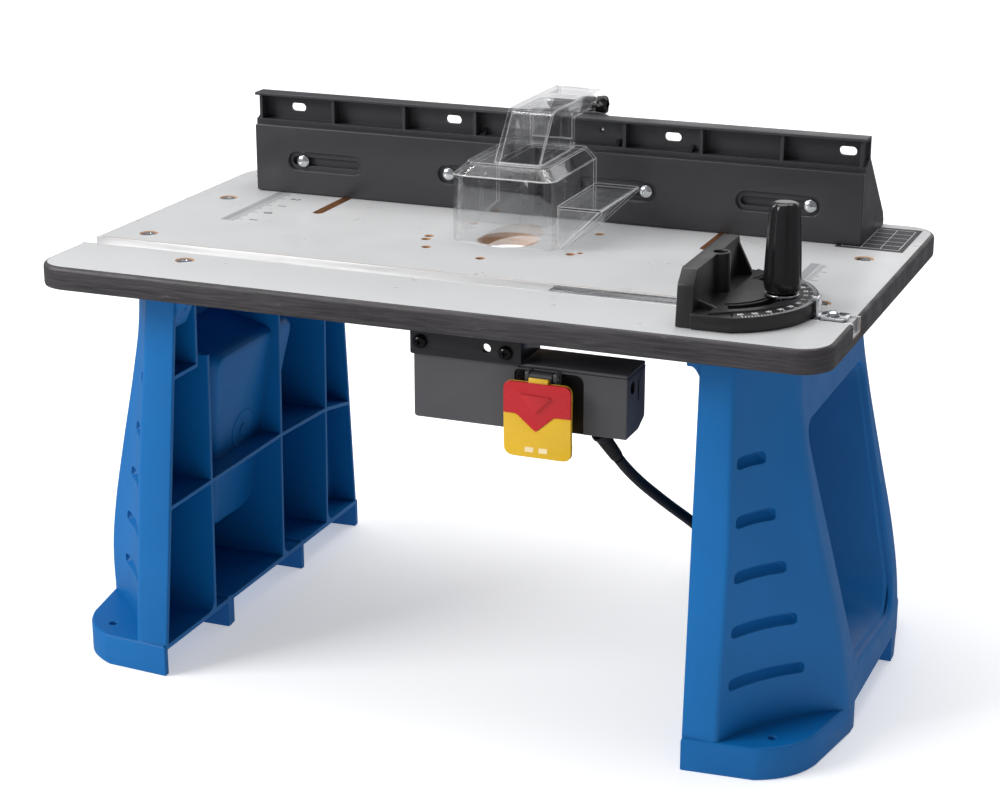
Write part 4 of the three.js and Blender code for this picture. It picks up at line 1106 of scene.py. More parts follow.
def knob(name, node, axis, centre, start, end, radius, lobes, hub, bore, mat, dip=0.2):
    """A lobed knob on a hub; the grip is at the far end."""
    outline = lobed(radius, lobes, dip)
    reach = end - start
    sign = 1 if reach > 0 else -1
    grip = start + sign * hub[1]
    rings = []
    for d, c in (
        (radius * 0.16, grip), (0.6, grip + sign * 0.7), (0, grip + sign * 2.2), (0, end - sign * 3.0),
                 (0.7, end - sign * 1.2), (2.2, end - sign * 0.2), (radius * 0.36, end)):
        rings.append([place(axis, centre[0] + a, centre[1] + b, c) for a, b in inset(outline, d)])
    body = loft(name, rings, mat)
    base = turned(
        "hub", [(0, start), (hub[0], start), (hub[0], grip + sign), (0, grip + sign)], axis, centre, 40, mat
    )
    join(body, base)
    cut(body, cylinder("bore", axis, bore, min(start, end) - 2, max(start, end) + 2, centre, 32))
    show(smooth(body, 38), node)


def make_face_bolts():
    floor = 102.5
    for i, x in enumerate(FACE_BOLTS):
        centre = (x, BOLT_Z)
        start = floor - 3.6
        profile = [(0, start)]
        for k in range(1, 9):
            t = k / 8 * 1.2
            profile.append(
                (5.7 * math.sin(t) / math.sin(1.2), start + 2.6 * (1 - math.cos(t)) / (1 - math.cos(1.2)))
            )
        profile += [(5.7, floor - 0.25), (5.45, floor), (2.9, floor), (2.9, floor + 1.5)]
        for k in range(22):
            profile += [(2.9, floor + 2 + k * 0.8), (2.45, floor + 2.4 + k * 0.8)]
        profile += [(2.3, start + 24), (0, start + 24)]
        bolt = turned(f"carriage_bolt_{i + 1}", profile, "y", centre, 40, MAT["zinc"])
        show(smooth(bolt, 30), f"face_bolt_{i + 1}")
        y = 106 + GAP + 6 + GAP
        knob(
            f"face_grip_{i + 1}", f"face_knob_{i + 1}", "y", centre, y, y + 15, 11.5, 6, (7, 5), 3.2,
            MAT["knob"]
        )


def make_clamps():
    for i, (x, _) in enumerate(CLAMPS):
        head = BOTTOM - GAP
        profile = [
            (0, head - 4), (4, head - 3.8), (7.5, head - 2.8), (9, head - 1.2), (9, head), (3.8, head),
            (3.8, head + 8)
        ]
        for k in range(32):
            profile += [(3.8, head + 9 + k * 1.02), (3.3, head + 9.5 + k * 1.02)]
        profile += [(3.1, 349), (0, 349)]
        bolt = turned(f"clamp_bolt_body_{i + 1}", profile, "z", (x, 152), 40, MAT["zinc"])
        show(smooth(bolt, 30), f"clamp_bolt_{i + 1}")
        z = BASE + 5 + GAP
        knob(
            f"clamp_grip_{i + 1}", f"clamp_knob_{i + 1}", "z", (x, 152), z, z + 21, 19, 5, (10, 8), 4.1,
            MAT["knob"]
        )


def make_dust_hood():
    x, front, floor = THROAT_X, 120 + GAP, BASE + 5 + GAP
    mat = MAT["black"]
    box_outline = fillet([(x - 38, floor), (x + 38, floor), (x + 38, 382), (x - 38, 382)], [1, 1, 5, 5], 5)
    hood = soft_prism("dust_box", box_outline, "y", front, 146, 1.2, mat)
    spigot = turned(
        "spigot", [(0, 144), (25.5, 144), (24.6, 147.5), (24, 149), (24, 174.8), (23.2, 176), (0, 176)],
        "y", (x, 359), 72, mat
    )
    join(hood, spigot)
    inner = fillet([(x - 30, floor + 3), (x + 30, floor + 3), (x + 30, 379), (x - 30, 379)], [1, 1, 4, 4], 5)
    bore = turned("bore", [(0, 141), (21.5, 141), (21.5, 175), (22.4, 177), (0, 177)], "y", (x, 359), 72)
    cut(hood, prism("inside", inner, "y", front - 1, 143), bore)
    show(smooth(hood), "dust_hood")


# ------------------------------------------------------------------ guard

G = {"left": -39, "right": 46.5, "front": -5, "back": 92, "bottom": TOP + 0.8, "top": 388, "wall": 2.5,
     "chamfer": 9, "arm_left": -7.7, "arm_right": 30, "arm_top": 425}
HINGE = (140, 412)


def guard_ring(z, d, r=9.0):
    x0, x1, y0 = G["left"] + d, G["right"] - d, G["front"] + d
    ring = [(a, b) for a, b in arc(x0 + r, y0 + r, r, PI, 1.5 * PI, 10)]
    ring += arc(x1 - r, y0 + r, r, 1.5 * PI, 2 * PI, 10)
    ring += [(x1, G["back"]), (x0, G["back"])]
    return [(a, b, z) for a, b in ring]


def make_guard():
    left, right, front, back, low, top = (G[k] for k in ("left", "right", "front", "back", "bottom", "top"))
    wall, chamfer, a0, a1, arm = (G[k] for k in ("wall", "chamfer", "arm_left", "arm_right", "arm_top"))
    shoulder = top - chamfer
    outer = loft(
        "guard_box", [guard_ring(low, 0), guard_ring(shoulder, 0), guard_ring(top, chamfer)], MAT["clear"]
    )
    inner = loft(
        "inner",
        [guard_ring(low - 5, wall), guard_ring(shoulder - 1, wall), guard_ring(top - wall, chamfer + 1)]
    )
    step = chamfer + 1
    rise = [(front + 12, low - 2), (back + 2, low - 2), (back + 2, 337)]
    rise += [(back - 12 - k * 6, 337 - (337 - low) * ((k + 1) / 12) ** 1.1) for k in range(12)]
    rise = [p for p in rise if p[0] > front + 13] + [(front + 12, low)]
    cut(
        outer, inner,
        block("inner", left + wall, right - wall, back - 10, back + 10, low - 5, shoulder - 1),
        block("inner", left + step, right - step, back - 10, back + 10, shoulder - 5, top - wall),
        prism("rise", rise, "x", left - 5, right + 5),
    )
    tower_out = fillet([
        (9, top - 1), (40, arm), (146, arm), (149, arm - 4), (149, 414), (143, 403.5), (137, 403.5),
        (131, 411), (86, 411), (86, top - 1),
    ], [0, 5, 3, 1.5, 3, 5, 4, 3, 2, 0], 5)
    tower_in = fillet(
        [(12.2, top - 4), (41.4, arm - wall), (150, arm - wall), (150, 400), (83.5, 400), (83.5, top - 4)],
        [0, 4, 0, 0, 0, 0], 5
    )
    tower = soft_prism("tower", tower_out, "x", a0, a1, 0.7, MAT["clear"])
    cut(tower, prism("hollow", tower_in, "x", a0 + wall, a1 - wall),
        block("hollow", a0 + wall, a1 - wall, 80, 155, 395, arm - wall))
    opening = prism(
        "opening", [(12.2, top - 4), (13.4, top + 1), (83.5, top + 1), (83.5, top - 4)], "x", a0 + wall,
        a1 - wall
    )
    cut(outer, opening)
    shelf = fillet(
        [(right - 1, 356.8), (80.5, 356.8), (82.6, 358.0), (81.4, 359.3), (right - 1, 359.3)],
        [0, 0.6, 0.6, 0.6, 0], 3
    )
    skirt = fillet([(82.2, 359.2), (82.2, 355.9), (51.6, low), (48.1, low)], [1, 0.5, 0.4, 0.4], 3)
    cheek = [(right - 1, 359.2), (81.3, 359.2), (48.6, low), (right - 1, low)]
    join(
        outer, tower, prism("shelf", shelf, "y", 4, back, MAT["clear"]),
        prism("skirt", skirt, "y", 4, back, MAT["clear"]),
         prism("cheek", cheek, "y", 4, 6.5, MAT["clear"]))
    bands = []
    for y in (92, 97, 102, 107):
        bands.append(block("band", a0 + 1.2, a1 - 1.2, y, y + 2.2, arm - 0.4, arm + 0.0, MAT["clear"]))
    cut(outer, *bands, cylinder("pin_hole", "x", 2.8, a0 - 5, a1 + 5, HINGE, 32))
    show(smooth(outer, 28), "bit_guard")


def make_guard_hinge():
    refined("guard_bracket", MAT["black"], 0.5, 3)
    for i, x in enumerate((-20, 42)):
        tip = 124.3 + GAP - 6.4
        profile = [(0, tip), (1.3, tip + 0.3)]
        for k in range(7):
            profile += [(1.7, tip + 0.9 + k * 0.75), (1.3, tip + 1.3 + k * 0.75)]
        profile += [
            (1.7, tip + 6.4), (3.6, tip + 6.4), (3.5, tip + 7.6), (2.6, tip + 8.4), (1.2, tip + 8.75),
            (0, tip + 8.8)
        ]
        screw = turned(f"bracket_screw_body_{i + 1}", profile, "y", (x, 397), 32, MAT["zinc"])
        cut(screw, *cross_recess("y", (x, 397), tip + 8.8, 1, 1.9, 1.4))
        show(smooth(screw, 30), f"bracket_screw_{i + 1}")
    a0, a1 = G["arm_left"], G["arm_right"]
    profile = [
        (0, a0 - 4.5), (3.8, a0 - 4.5), (5.0, a0 - 3.6), (5.2, a0 - 2.4), (5.2, a0 - GAP), (2.5, a0 - GAP),
        (2.5, a1 + 7.6), (2.1, a1 + 8), (0, a1 + 8)
    ]
    show(smooth(turned("hinge_pin", profile, "x", HINGE, 40, MAT["steel"]), 30), "guard_pin")
    knob("guard_grip", "guard_knob", "x", HINGE, a1 + GAP, a1 + GAP + 8, 8.2, 6, (7.2, 0.8), 2.8, MAT["knob"])


# ------------------------------------------------------------------ miter gauge

PIVOT_X = 206.0
HANDLE_X = 251.0
RIM_R = 69.5
RIM_HALF = 64.6


def make_gauge_head():
    y = TRACK_Y
    base, top, height = TOP + 0.4, TOP + 12.4, 39.0
    face, back = 193.6, 205.6
    mat = MAT["gauge"]
    reach = math.asin(RIM_HALF / RIM_R)
    outline = [(back - 1, y + RIM_HALF), (back - 1, y - RIM_HALF)] + arc(PIVOT_X, y, RIM_R, -reach, reach, 60)
    levels = ((0.8, base), (0, base + 0.8), (0, top - 2.4), (0.6, top - 1.6), (11.4, top - 1.6), (12.2, top))
    rings = [[(a, b, z) for a, b in inset(outline, d)] for d, z in levels]
    disc = loft("protractor", rings, mat)
    plate = fillet([
        (y - 63, base), (y + 63, base), (y + 63, base + 6), (y + 49.5, base + height),
        (y - 49.8, base + height), (y - 59.5, base + 29),
    ], [0.6, 0.6, 1.5, 1.5, 1.5, 1.5], 4)
    wall = soft_prism("gauge_face", plate, "x", face, back, 0.7, mat)
    web = fillet(
        [(back - 1, base), (back + 12, base + 8), (back + 11, base + 13), (back - 1, base + height - 2)],
        [0, 2, 4, 0], 5
    )
    boss = turned(
        "boss",
        [(0, base), (7.5, base), (7.5, base + height - 0.5), (7.1, base + height), (0, base + height)], "z",
        (PIVOT_X, y), 56, mat
    )
    low_web = fillet(
        [(back - 1, base), (back + 14, base + 8), (back + 13, base + 12.4), (back - 1, base + 17)],
        [0, 2, 3, 0], 5
    )
    join(
        disc, wall, prism("web", web, "y", y + 46, y + 49, mat),
        prism("web", low_web, "y", y - 50, y - 47, mat), boss
    )
    swing = math.radians(66)
    mid = HANDLE_X - PIVOT_X
    slot = arc(PIVOT_X, y, mid + 4.2, -swing, swing, 40) + arc(PIVOT_X, y, mid - 4.2, swing, -swing, 40)
    step_in = arc(PIVOT_X, y, mid + 7.2, -swing - 0.05, swing + 0.05, 40) + arc(
        PIVOT_X, y, mid - 7.2, swing + 0.05, -swing - 0.05, 40
    )
    cut(
        disc, prism("slot", slot, "z", base - 1, top + 1),
        prism("slot_rim", step_in, "z", top - 0.8, top + 1),
        cylinder("hole", "z", 2.6, base - 1, base + 9, (PIVOT_X, y), 32),
        turned(
            "bore",
            [
                (0, base + 8), (5, base + 8), (5, base + height - 0.5), (5.8, base + height + 0.3),
                (0, base + height + 0.5)
            ],
            "z", (PIVOT_X, y), 40
        ),
    )
    show(smooth(disc, 34), "gauge_head")
    marks = []
    for k in range(-60, 61, 2):
        t = math.radians(k)
        long = k % 10 == 0
        r0 = RIM_R - (6.3 if long else 4.2)
        marks.append(radial_mark(PIVOT_X, y, t, r0, RIM_R - 1.2, 0.26, top - 1.58))
    for k in range(-60, 61, 10):
        t = math.radians(k)
        r = RIM_R - 8.9
        place_at = (PIVOT_X + r * math.cos(t), y + r * math.sin(t), top - 1.57)
        marks.append(text_piece("degree", str(abs(k)), 4.6, place_at, MAT["white"], turn=t - PI / 2 + PI))
    extra(merged("degree_scale", marks), "protractor")


def radial_mark(cx, cy, t, r0, r1, half, z):
    d, n = Vector((math.cos(t), math.sin(t))), Vector((-math.sin(t), math.cos(t)))
    c = Vector((cx, cy))
    corners = [c + d * r0 - n * half, c + d * r1 - n * half, c + d * r1 + n * half, c + d * r0 + n * half]
    return prism("mark", [tuple(p) for p in corners], "z", z, z + 0.05, MAT["white"])


def make_gauge_handle():
    y = TRACK_Y
    top = TOP + 12.4
    bottom = top + 1.9 + GAP
    washer = turned(
        "washer_ring",
        [
            (3.4, top + GAP), (11.7, top + GAP), (12, top + GAP + 0.3), (12, top + 1.6), (11.7, top + 1.9),
            (3.4, top + 1.9), (3.4, top + GAP)
        ],
        "z", (HANDLE_X, y), 64, MAT["zinc"]
    )
    show(smooth(washer), "gauge_washer")
    profile = [(0, TOP - 9), (3, TOP - 9)] + [
        p for k in range(48) for p in ((3.0, TOP - 8.5 + k), (2.6, TOP - 8.0 + k))
    ] + [(2.4, bottom + 29.6), (0, bottom + 30)]
    show(smooth(turned("stud_rod", profile, "z", (HANDLE_X, y), 32, MAT["steel"]), 30), "gauge_stud")
    outer = [
        (9.4, 0), (11.4, 1.0), (12.6, 3.5), (13.1, 7), (13.2, 9.5), (13.0, 14), (12.6, 26), (12.0, 39),
        (11.4, 52), (10.9, 58), (10.2, 61.6), (8.9, 63.4), (6.5, 64.1), (3.0, 64.2)
    ]
    sides = 144
    rings = []
    for r, h in outer:
        ring = []
        for i in range(sides):
            t = 2 * PI * i / sides
            groove = max(0.0, math.cos(6 * t)) ** 1.6
            fade = min(1, max(0, (h - 9.0) / 6)) * min(1, max(0, (63.6 - h) / 5))
            rr = r - 1.8 * groove * fade
            ring.append((HANDLE_X + rr * math.cos(t), y + rr * math.sin(t), bottom + h))
        rings.append(ring)
    grip = loft("handle_grip", rings, MAT["handle"])
    cut(grip, cylinder("bore", "z", 3.2, bottom - 1, bottom + 31, (HANDLE_X, y), 32))
    show(smooth(grip, 50), "gauge_handle")
    seat = TOP + 0.4 + 8 + GAP
    profile = [
        (0, TOP - 9), (2.2, TOP - 8.8), (2.2, seat), (3.6, seat), (3.6, seat + 3.4), (3.1, seat + 4),
        (0, seat + 4)
    ]
    show(
        smooth(turned("pivot_screw_body", profile, "z", (PIVOT_X, y), 40, MAT["zinc"]), 30),
        "gauge_pivot_screw"
    )


def make_gauge_bar():
    half = 18.7 / 2
    floor = TOP - 9.6
    bar = soft_prism(
        "bar_body",
        [
            (TRACK_Y - half, floor), (TRACK_Y + half, floor), (TRACK_Y + half, TOP - 0.2),
            (TRACK_Y - half, TOP - 0.2)
        ],
        "x", 80, 303, 0.5, MAT["steel"]
    )
    cut(
        bar,
        *[
            cylinder("hole", "z", r, floor - 1, TOP + 1, (x, TRACK_Y), 32) for x,
            r in ((PIVOT_X, 2.4), (HANDLE_X, 3.3), (288, 2.2))
        ]
    )
    bevel(bar, 0.35, 2, 40)
    show(smooth(bake(bar)), "gauge_bar")


def make_pointer():
    y, z = TRACK_Y, TOP + GAP
    rim = PIVOT_X + RIM_R + 1.2
    section = fillet([
        (299, z), (299, z + 1.4), (rim + 1.4, z + 1.4), (rim + 1.4, z + 14), (rim - 4.6, z + 14),
        (rim - 5, z + 12.6), (rim, z + 12.6), (rim, z),
    ], [0.3, 0.3, 1.2, 2.4, 0.3, 0.2, 1.2, 2.4], 5)
    strap = prism("pointer_strap", section, "y", y - 9, y + 9, MAT["zinc"])
    waist = []
    for side in (1, -1):
        outline = [
            (rim + 4.5, y + side * 12), (rim + 4.5, y + side * 9.2), (rim + 2.6, y + side * 6.2),
            (rim - 9, y + side * 6), (rim - 9, y + side * 12)
        ]
        waist.append(prism("waist", outline, "z", z - 1, z + 20))
        tip = [
            (rim - 0.2, y + side * 12), (rim - 0.2, y + side * 3.2), (rim - 9, y + side * 0.9),
            (rim - 9, y + side * 12)
        ]
        waist.append(prism("tip", tip, "z", z + 11.8, z + 20))
        nip = [
            (303, y + side * 12), (303, y + side * 6), (299.5, y + side * 6), (296.5, y + side * 9.5),
            (296.5, y + side * 12)
        ]
        waist.append(prism("nip", nip, "z", z - 1, z + 20))
    cut(strap, *waist, cylinder("hole", "z", 2.2, z - 1, z + 3, (288, y), 32))
    bevel(strap, 0.18, 2, 40)
    show(smooth(bake(strap)), "gauge_pointer")
    head = z + 1.4 + GAP
    profile = [(0, head - 9)]
    for k in range(12):
        profile += [(1.8, head - 8.6 + k * 0.7), (1.4, head - 8.25 + k * 0.7)]
    profile += [
        (1.8, head), (4.4, head), (4.45, head + 0.9), (4.0, head + 2.0), (2.9, head + 2.8),
        (1.2, head + 3.15), (0, head + 3.2)
    ]
    screw = turned("pointer_screw_body", profile, "z", (288, y), 40, MAT["zinc"])
    cut(screw, *cross_recess("z", (288, y), head + 3.2, 1, 2.3, 1.9))
    show(smooth(screw, 30), "pointer_screw")


# ------------------------------------------------------------------ switch

BOX = {"left": 76, "right": 161.4, "front": -164.0, "back": -124, "bottom": 239.8, "top": 284.3}
STRIP_SCREWS = [(6.3, 295.4), (71.8, 294.0)]
HINGE_Y = BOX["front"] - 5
HINGE_Z = 280.0


def make_switch_bracket():
    refined("switch_bracket", MAT["black_steel"], 0.35, 2)
    for i, (x, z) in enumerate(STRIP_SCREWS):
        face = BOX["front"] - 2.2 - GAP
        profile = [
            (0, face - 3.4), (1.6, face - 3.35), (3.6, face - 2.8), (4.8, face - 1.7), (5.2, face - 0.7),
            (5.1, face), (2.1, face), (2.1, face + 2)
        ]
        for k in range(7):
            profile += [(2.1, face + 2.5 + k * 0.85), (1.6, face + 2.9 + k * 0.85)]
        profile += [(1.5, face + 8.6), (0, face + 8.6)]
        screw = turned(f"strip_screw_{i + 1}", profile, "y", (x, z), 40, MAT["screw_black"])
        cut(screw, *cross_recess("y", (x, z), face - 3.4, -1, 2.9, 2.0))
        show(smooth(screw, 30), f"switch_screw_{i + 1}")


def make_switch_housing():
    left, right, front, back, bottom, top = (
        BOX[k] for k in ("left", "right", "front", "back", "bottom", "top")
    )
    mat, dark = MAT["box"], MAT["recess"]
    section = fillet(
        [(front, bottom), (back - 14, bottom), (back, bottom + 6), (back, top), (front, top)],
        [1.2, 2, 2, 0.3, 0.8], 5
    )
    shell = soft_prism("switch_shell", section, "x", left, right, 1.1, mat, 4)
    hollow = [
        (front + 2.6, bottom + 2.6), (back - 14, bottom + 2.6), (back - 2.4, bottom + 8),
        (back - 2.4, top + 1), (front + 2.6, top + 1),
    ]
    cut(shell, prism("cavity", hollow, "x", left + 2.5, right - 2.5, mat))
    ear = soft_prism("ear", rounded_rect(0.3, 80, 238.1, 303.5, 2.4, 6), "y", front, front + 2.4, 0.5, mat)
    clips = []
    for x in (88.5, 109.5):
        side = fillet(
            [
                (front + 1, 275.4), (front - 6.5, 275.4), (front - 8, 277.5), (front - 8, top),
                (front + 1, top)
            ],
            [0, 1, 1.6, 1.8, 0], 5
        )
        clips.append(soft_prism("clip", side, "x", x, x + 3, 0.4, mat, 2))
    join(shell, ear, *clips)
    pocket = fillet([(77.6, 236), (129.4, 236), (129.4, 282.9), (77.6, 282.9)], [0, 0, 7, 4], 8)
    # the dark cutters paint shade onto the walls of the pocket, window, side hole, side slot and cord hole
    holes = [
        prism("pocket", pocket, "y", front - 1.2, front + 1.3, dark),
        soft_prism("window", rounded_rect(82, 118, 243, 276, 3, 5), "y", front - 1, front + 4, 0.01, dark, 1),
        cylinder("bore", "x", 1.6, 80, 120, (HINGE_Y, HINGE_Z), 24),
        turned(
            "side_hole",
            [(0, right - 4), (4.2, right - 4), (4.2, right - 0.7), (5, right + 0.4), (0, right + 0.4)], "x",
            (-152, 275), 40, dark
        ),
        block("side_slot", right - 0.8, right + 1, -141, -138.6, 262, 277, dark),
        cylinder("cord_hole", "z", 5.2, bottom - 1, bottom + 4, (139.5, -152), 32, dark),
        cylinder("strip_hole", "y", 3.5, front - 1, front + 4, (57, 295.7), 32),
    ]
    holes += [cylinder("hole", "y", 2.5, front - 1, front + 4, at, 24) for at in STRIP_SCREWS]
    keep_clips = join(
        block("clips", 88.5, 91.5, front - 8.5, front + 1.5, 270, 285),
        block("clips", 109.5, 112.5, front - 8.5, front + 1.5, 270, 285)
    )
    cut(holes[0], keep_clips)
    cut(shell, *holes)
    show(smooth(shell), "switch_housing")
    lid = soft_prism(
        "switch_lid_plate", rounded_rect(80 + GAP, right, front, back, 1.6, 5), "z", top + GAP, top + 2.6,
        0.7, mat
    )
    show(smooth(lid), "switch_lid")


PADDLE_FRONT = -177.5


def lip_curl(z):
    """How far the paddle's lower lip curls forward at a height."""
    t = max(0.0, (236 - z) / 12)
    return -2.2 * t * t


def make_paddle():
    left, right, top, bottom, front = 74.7, 124.9, 278.0, 224.0, PADDLE_FRONT
    thick = 3.4

    def slab(name, y, depth, mat):
        levels = [bottom - 2, bottom, 226, 228, 230, 232, 234, 236, 250, top + 1]
        section = [(y + lip_curl(z), z) for z in levels]
        section += [(y + depth + lip_curl(z), z) for z in reversed(levels)]
        return prism(name, section, "x", left - 5, right + 5, mat)

    def outline(d=0.0):
        corners = [
            (left + d + 0.6, bottom + d), (right - d + 0.4, bottom + d), (right - d + 0.4, bottom + 8),
            (right - d, bottom + 14),
            (right - d, top - d), (left + d, top - d), (left + d, bottom + 14),
        ]
        return fillet(corners, [9, 7, 2, 4, 6, 6, 6], 8)

    notch = [
        (82.5, 254.6), (84.6, 254.2), (97.2, 243.6), (98.8, 242.7), (100.4, 243.6), (112.2, 254.0),
        (114.6, 254.4)
    ]
    region = [(left - 3, 254.8)] + notch + [(right + 3, 254.6), (right + 3, top + 3), (left - 3, top + 3)]
    yellow = overlap(
        slab("paddle_low", front, thick, MAT["yellow"]),
        prism("edge", outline(), "y", front - 8, front + 8, MAT["yellow"])
    )
    cut(yellow, prism("upper", region, "y", front - 8, front + thick - 1.2, MAT["yellow"]))
    red = overlap(
        slab("paddle_high", front - 0.45, thick - 1.0, MAT["red"]),
        prism("edge", outline(0.05), "y", front - 8, front + 8, MAT["red"])
    )
    red = overlap(
        red, prism("upper", [(a, b + 0.12) for a, b in region], "y", front - 8, front + 8, MAT["red"])
    )
    mark = fillet([(86.4, 269.6), (98.9, 256.2), (111.2, 268.8)], [1.6, 1.6, 1.6], 5)
    raised = soft_prism("raised_mark", mark, "y", front - 1.9, front, 0.35, MAT["red"], 2)
    join(red, raised)
    for piece in (yellow, red):
        bevel(piece, 0.5, 3, 40)
        smooth(bake(piece), 40)
    tongue = soft_prism(
        "tongue",
        [
            (front + 0.6, 271.6), (HINGE_Y + 1.2, 271.6), (HINGE_Y + 1.6, 278.6), (front + 1.4, 281.4),
            (front + 0.6, 280.4)
        ],
        "x", 93, 107.5, 0.4, MAT["yellow"], 2
    )
    sleeve = turned(
        "sleeve", [(0, 91.9), (3.5, 91.9), (4.1, 92.5), (4.1, 108.5), (3.5, 109.1), (0, 109.1)], "x",
        (HINGE_Y, HINGE_Z), 40, MAT["black"]
    )
    cut(tongue, cylinder("seat", "x", 4.15, 90, 112, (HINGE_Y, HINGE_Z), 40, MAT["yellow"]))
    cut(sleeve, cylinder("bore", "x", 1.6, 85, 115, (HINGE_Y, HINGE_Z), 24))
    marks = []
    for x in (94.2, 104.6):
        marks.append(ink_bar(x, 229.2, 3.2, MAT["pale_mark"]))
    piece = merged("paddle_plate", [yellow, red, smooth(tongue), smooth(sleeve)] + marks)
    show(piece, "stop_paddle")
    refined("paddle_pin", MAT["steel"], 0.2)


def ink_bar(x, z, half, mat):
    """A short plain printed bar on the curled lower part of the paddle."""
    verts, faces = [], []
    for k in range(9):
        h = z + 1.7 * (k / 4 - 1)
        y = PADDLE_FRONT + lip_curl(h) - 0.06
        verts += [(x - half, y, h), (x + half, y, h)]
    for k in range(8):
        a = 2 * k
        faces.append((a, a + 1, a + 3, a + 2))
    return mesh_object("ink", verts, faces, mat)


def make_switch_inside():
    front, bottom, top = BOX["front"], BOX["bottom"], BOX["top"]
    module = soft_prism(
        "switch_core", rounded_rect(84, 116, bottom + 9, top - 6, 2, 4), "y", front + 10, front + 33, 0.6,
        MAT["black"]
    )
    cut(module, block("seat", 92, 108, front + 9, front + 20, 246, 274))
    show(smooth(module), "switch_module")
    key = fillet(
        [(front - 2.5, 248), (front - 0.5, 260), (front - 1.5, 272), (front + 15, 270), (front + 15, 250)],
        [1.2, 6, 1.2, 1, 1], 6
    )
    show(smooth(soft_prism("rocker_cap", key, "x", 93, 107, 0.6, MAT["green"])), "rocker")
    refined("wire_block", MAT["black"], 0.6, 3)


# ------------------------------------------------------------------ cord

CORD_R = 4.0
CORD_ROUTE = [
    (148.2, -142.2, 218), (151.5, -135.5, 209.5), (158, -123, 195.5), (166.5, -109, 181), (174, -96, 168.5),
    (182, -81, 155), (190, -60, 137), (196.5, -32, 115), (200.5, 0, 90), (202, 32, 64.5), (202.4, 62, 41),
    (202.4, 92, 21), (202.6, 118, 9), (203.2, 140, 4.6), (204.2, 157, 4.2),
]
COIL_AT = (162.5, 191.0)
COIL_TURNS = [(44, 4.2), (36, 4.2), (36, 11.85), (44, 11.85), (36, 19.5), (44, 19.5)]
TAIL_AT = (266.5, 191.0)
TAIL_R = 60.0
TAIL_END = 34.0


def coil_points(per_turn=18):
    """The coil's turns, starting where the cord runs into the outer one."""
    points = []
    for k, (r, z) in enumerate(COIL_TURNS):
        after = COIL_TURNS[min(k + 1, len(COIL_TURNS) - 1)]
        for i in range(per_turn):
            t = i / per_turn
            turn = max(0.0, (t - 0.84) / 0.16)
            ease = turn * turn * (3 - 2 * turn)
            rr, zz = r + (after[0] - r) * ease, z + (after[1] - z) * ease
            a = 2 * PI * t
            points.append((COIL_AT[0] + rr * math.cos(a), COIL_AT[1] + rr * math.sin(a), zz))
    return points


def tail_points():
    points = []
    for i in range(6):
        t = i / 5
        a = math.radians(TAIL_END * t)
        z = 19.5 - 9.0 * t * t * (3 - 2 * t)
        points.append((TAIL_AT[0] - TAIL_R * math.cos(a), TAIL_AT[1] + TAIL_R * math.sin(a), z))
    return points


def make_relief():
    start, end = Vector((139.3, -155.8, 239.5)), Vector(CORD_ROUTE[0])
    axis = (end - start).normalized()
    length = (end - start).length - 1.4
    side = axis.orthogonal().normalized()
    other = axis.cross(side)
    profile = [(0, -1.0), (6.4, -1.0), (6.4, 1.2), (5.5, 2.4)]
    ridges = 7
    for k in range(ridges):
        s0, s1 = 4.4 + k * (length - 6) / ridges, 4.4 + (k + 0.62) * (length - 6) / ridges
        r = 5.4 - 0.75 * k / ridges
        profile += [(r, s0), (r, s1), (r - 0.4, s1 + 0.25), (r - 0.45, s0 + (length - 6) / ridges - 0.25)]
    profile += [(4.5, length - 1.2), (4.3, length), (0, length)]
    sides = 36
    rings = []
    for r, h in profile[1:-1]:
        ring = []
        for i in range(sides):
            a = 2 * PI * i / sides
            p = start + axis * h + side * (r * math.cos(a)) + other * (r * math.sin(a))
            ring.append((p.x, p.y, min(p.z, BOX["bottom"] - GAP)))
        rings.append(ring)
    relief = loft("cord_relief", rings, MAT["rubber"])
    show(smooth(relief, 35), "strain_relief")


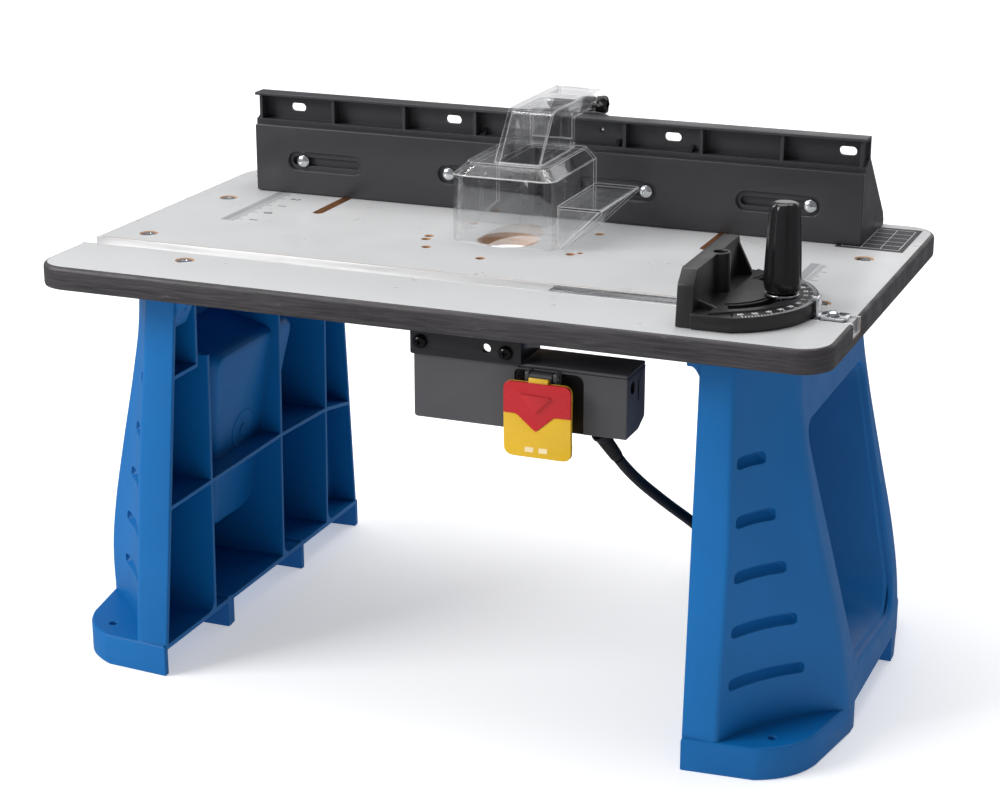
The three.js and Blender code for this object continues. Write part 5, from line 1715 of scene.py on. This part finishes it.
def make_plug():
    """A moulded three-pin plug that lies on the floor behind the leg."""
    mat = MAT["rubber"]

    def section(x, half_w, half_h, r):
        return [(x, y, z) for y, z in rounded_rect(-half_w, half_w, -half_h, half_h, r, 6)]

    shape = [
        (2.4, 4.6, 4.6, 4.4), (6, 4.9, 4.9, 4.6), (12, 5.8, 5.6, 5.0), (15, 7.4, 6.6, 5.2),
        (18, 9.2, 7.8, 5.6), (23, 9.8, 8.4, 6),
        (29, 9.9, 8.6, 6), (34, 10.4, 9.1, 6), (37.5, 10.9, 9.45, 6), (40.4, 11, 9.5, 6),
        (41, 10.4, 8.9, 5.6),
    ]
    body = loft("mains_plug", [section(*row) for row in shape], mat)
    grips = [
        block(
            "grip", x, x + 1.3, side * 9.35 - 1.2, side * 9.35 + 1.2, -5, 5
        ) for side in (-1, 1) for x in (20, 23, 26, 29, 32)
    ]
    for grip in grips:
        low = min(v.co.y for v in grip.data.vertices)
        grip.data.transform(Matrix.Translation((0, 0.0006 if low > 0 else -0.0006, 0)))
    cut(body, *grips)
    smooth(body, 40)
    pins = []
    for y in (-6.35, 6.35):
        outline = fillet(
            [(39, -1), (57, -1), (58, 0), (58, 4.3), (57, 5.3), (39, 5.3)], [0, 0.6, 0.6, 0.6, 0.6, 0], 3
        )
        blade = prism("blade", [(a, b) for a, b in outline], "y", y - 0.75, y + 0.75, MAT["blade"])
        cut(blade, cylinder("eye", "y", 1.5, y - 2, y + 2, (53.5, 2.1), 24, MAT["blade"]))
        pins.append(smooth(blade))
    pins.append(
        smooth(
            turned(
                "pin", [(0, 39), (2.4, 39), (2.4, 59.2), (1.9, 60.5), (1.0, 61), (0, 61)], "x", (0, -5.5),
                28, MAT["blade"]
            )
        )
    )
    plug = merged("plug_body", [body] + pins)
    a = math.radians(TAIL_END)
    spot = Vector((TAIL_AT[0] - TAIL_R * math.cos(a), TAIL_AT[1] + TAIL_R * math.sin(a), 10.5)) * MM
    plug.data.transform(Matrix.Translation(spot) @ Matrix.Rotation(PI / 2 - a, 4, "Z"))
    return show(plug, "cord_plug")


def make_tie():
    """A hook-and-loop strap round the coil's turns."""
    outer = rounded_rect(31.3, 48.7, 0.05, 24.5, 4, 8)
    inner = rounded_rect(32.1, 47.9, 0.2, 23.7, 3.6, 8)
    count = len(outer)
    turn = math.radians(232)
    c, s = math.cos(turn), math.sin(turn)
    verts = []
    for w, loop in ((-6, outer), (6, outer), (6, inner), (-6, inner)):
        for r, z in loop:
            verts.append((COIL_AT[0] + r * c - w * s, COIL_AT[1] + r * s + w * c, z))
    faces = []
    for k in range(4):
        for i in range(count):
            j = (i + 1) % count
            a, b = k * count, ((k + 1) % 4) * count
            faces.append((a + i, a + j, b + j, b + i))
    tie = mesh_object("cord_tie", verts, faces, MAT["strap"])
    return extra(smooth(tie, 40), "table")


def make_cord():
    points = CORD_ROUTE + coil_points() + tail_points()
    curve = bpy.data.curves.new("power_cord", "CURVE")
    curve.dimensions = "3D"
    spline = curve.splines.new("BEZIER")
    spline.bezier_points.add(len(points) - 1)
    for knot, p in zip(spline.bezier_points, points):
        knot.co = [c * MM for c in p]
        knot.handle_left_type = knot.handle_right_type = "AUTO"
    spline.resolution_u = 6
    curve.bevel_depth = CORD_R * MM
    curve.bevel_resolution = 5
    curve.use_fill_caps = True
    curve.materials.append(MAT["rubber"])
    cord = bpy.data.objects.new("power_cord", curve)
    bpy.context.scene.collection.objects.link(cord)
    show(cord, ["cord_tube", "cord_coil", "cord_tail"])
    make_plug()
    make_tie()


# ------------------------------------------------------------------ the whole table

MAT = make_materials()
make_camera()
make_cord()
make_relief()
make_lights()
make_tabletop()
make_printed_marks()
make_track()
make_leg_screws()
make_legs()
make_fence_frame()
make_fence_face("fence_face_left", -261.5, -8.5, [(-231, -163), (-94, -26)])
make_fence_face("fence_face_right", -2, 260, [(26, 93.5), (159.5, 227)])
make_face_bolts()
make_clamps()
make_dust_hood()
make_guard()
make_guard_hinge()
make_gauge_bar()
make_gauge_head()
make_gauge_handle()
make_pointer()
make_switch_bracket()
make_switch_housing()
make_paddle()
make_switch_inside()

floor = block("floor", -4000, 4000, -4000, 4000, -20, 0, MAT["floor"])
floor.visible_glossy = False
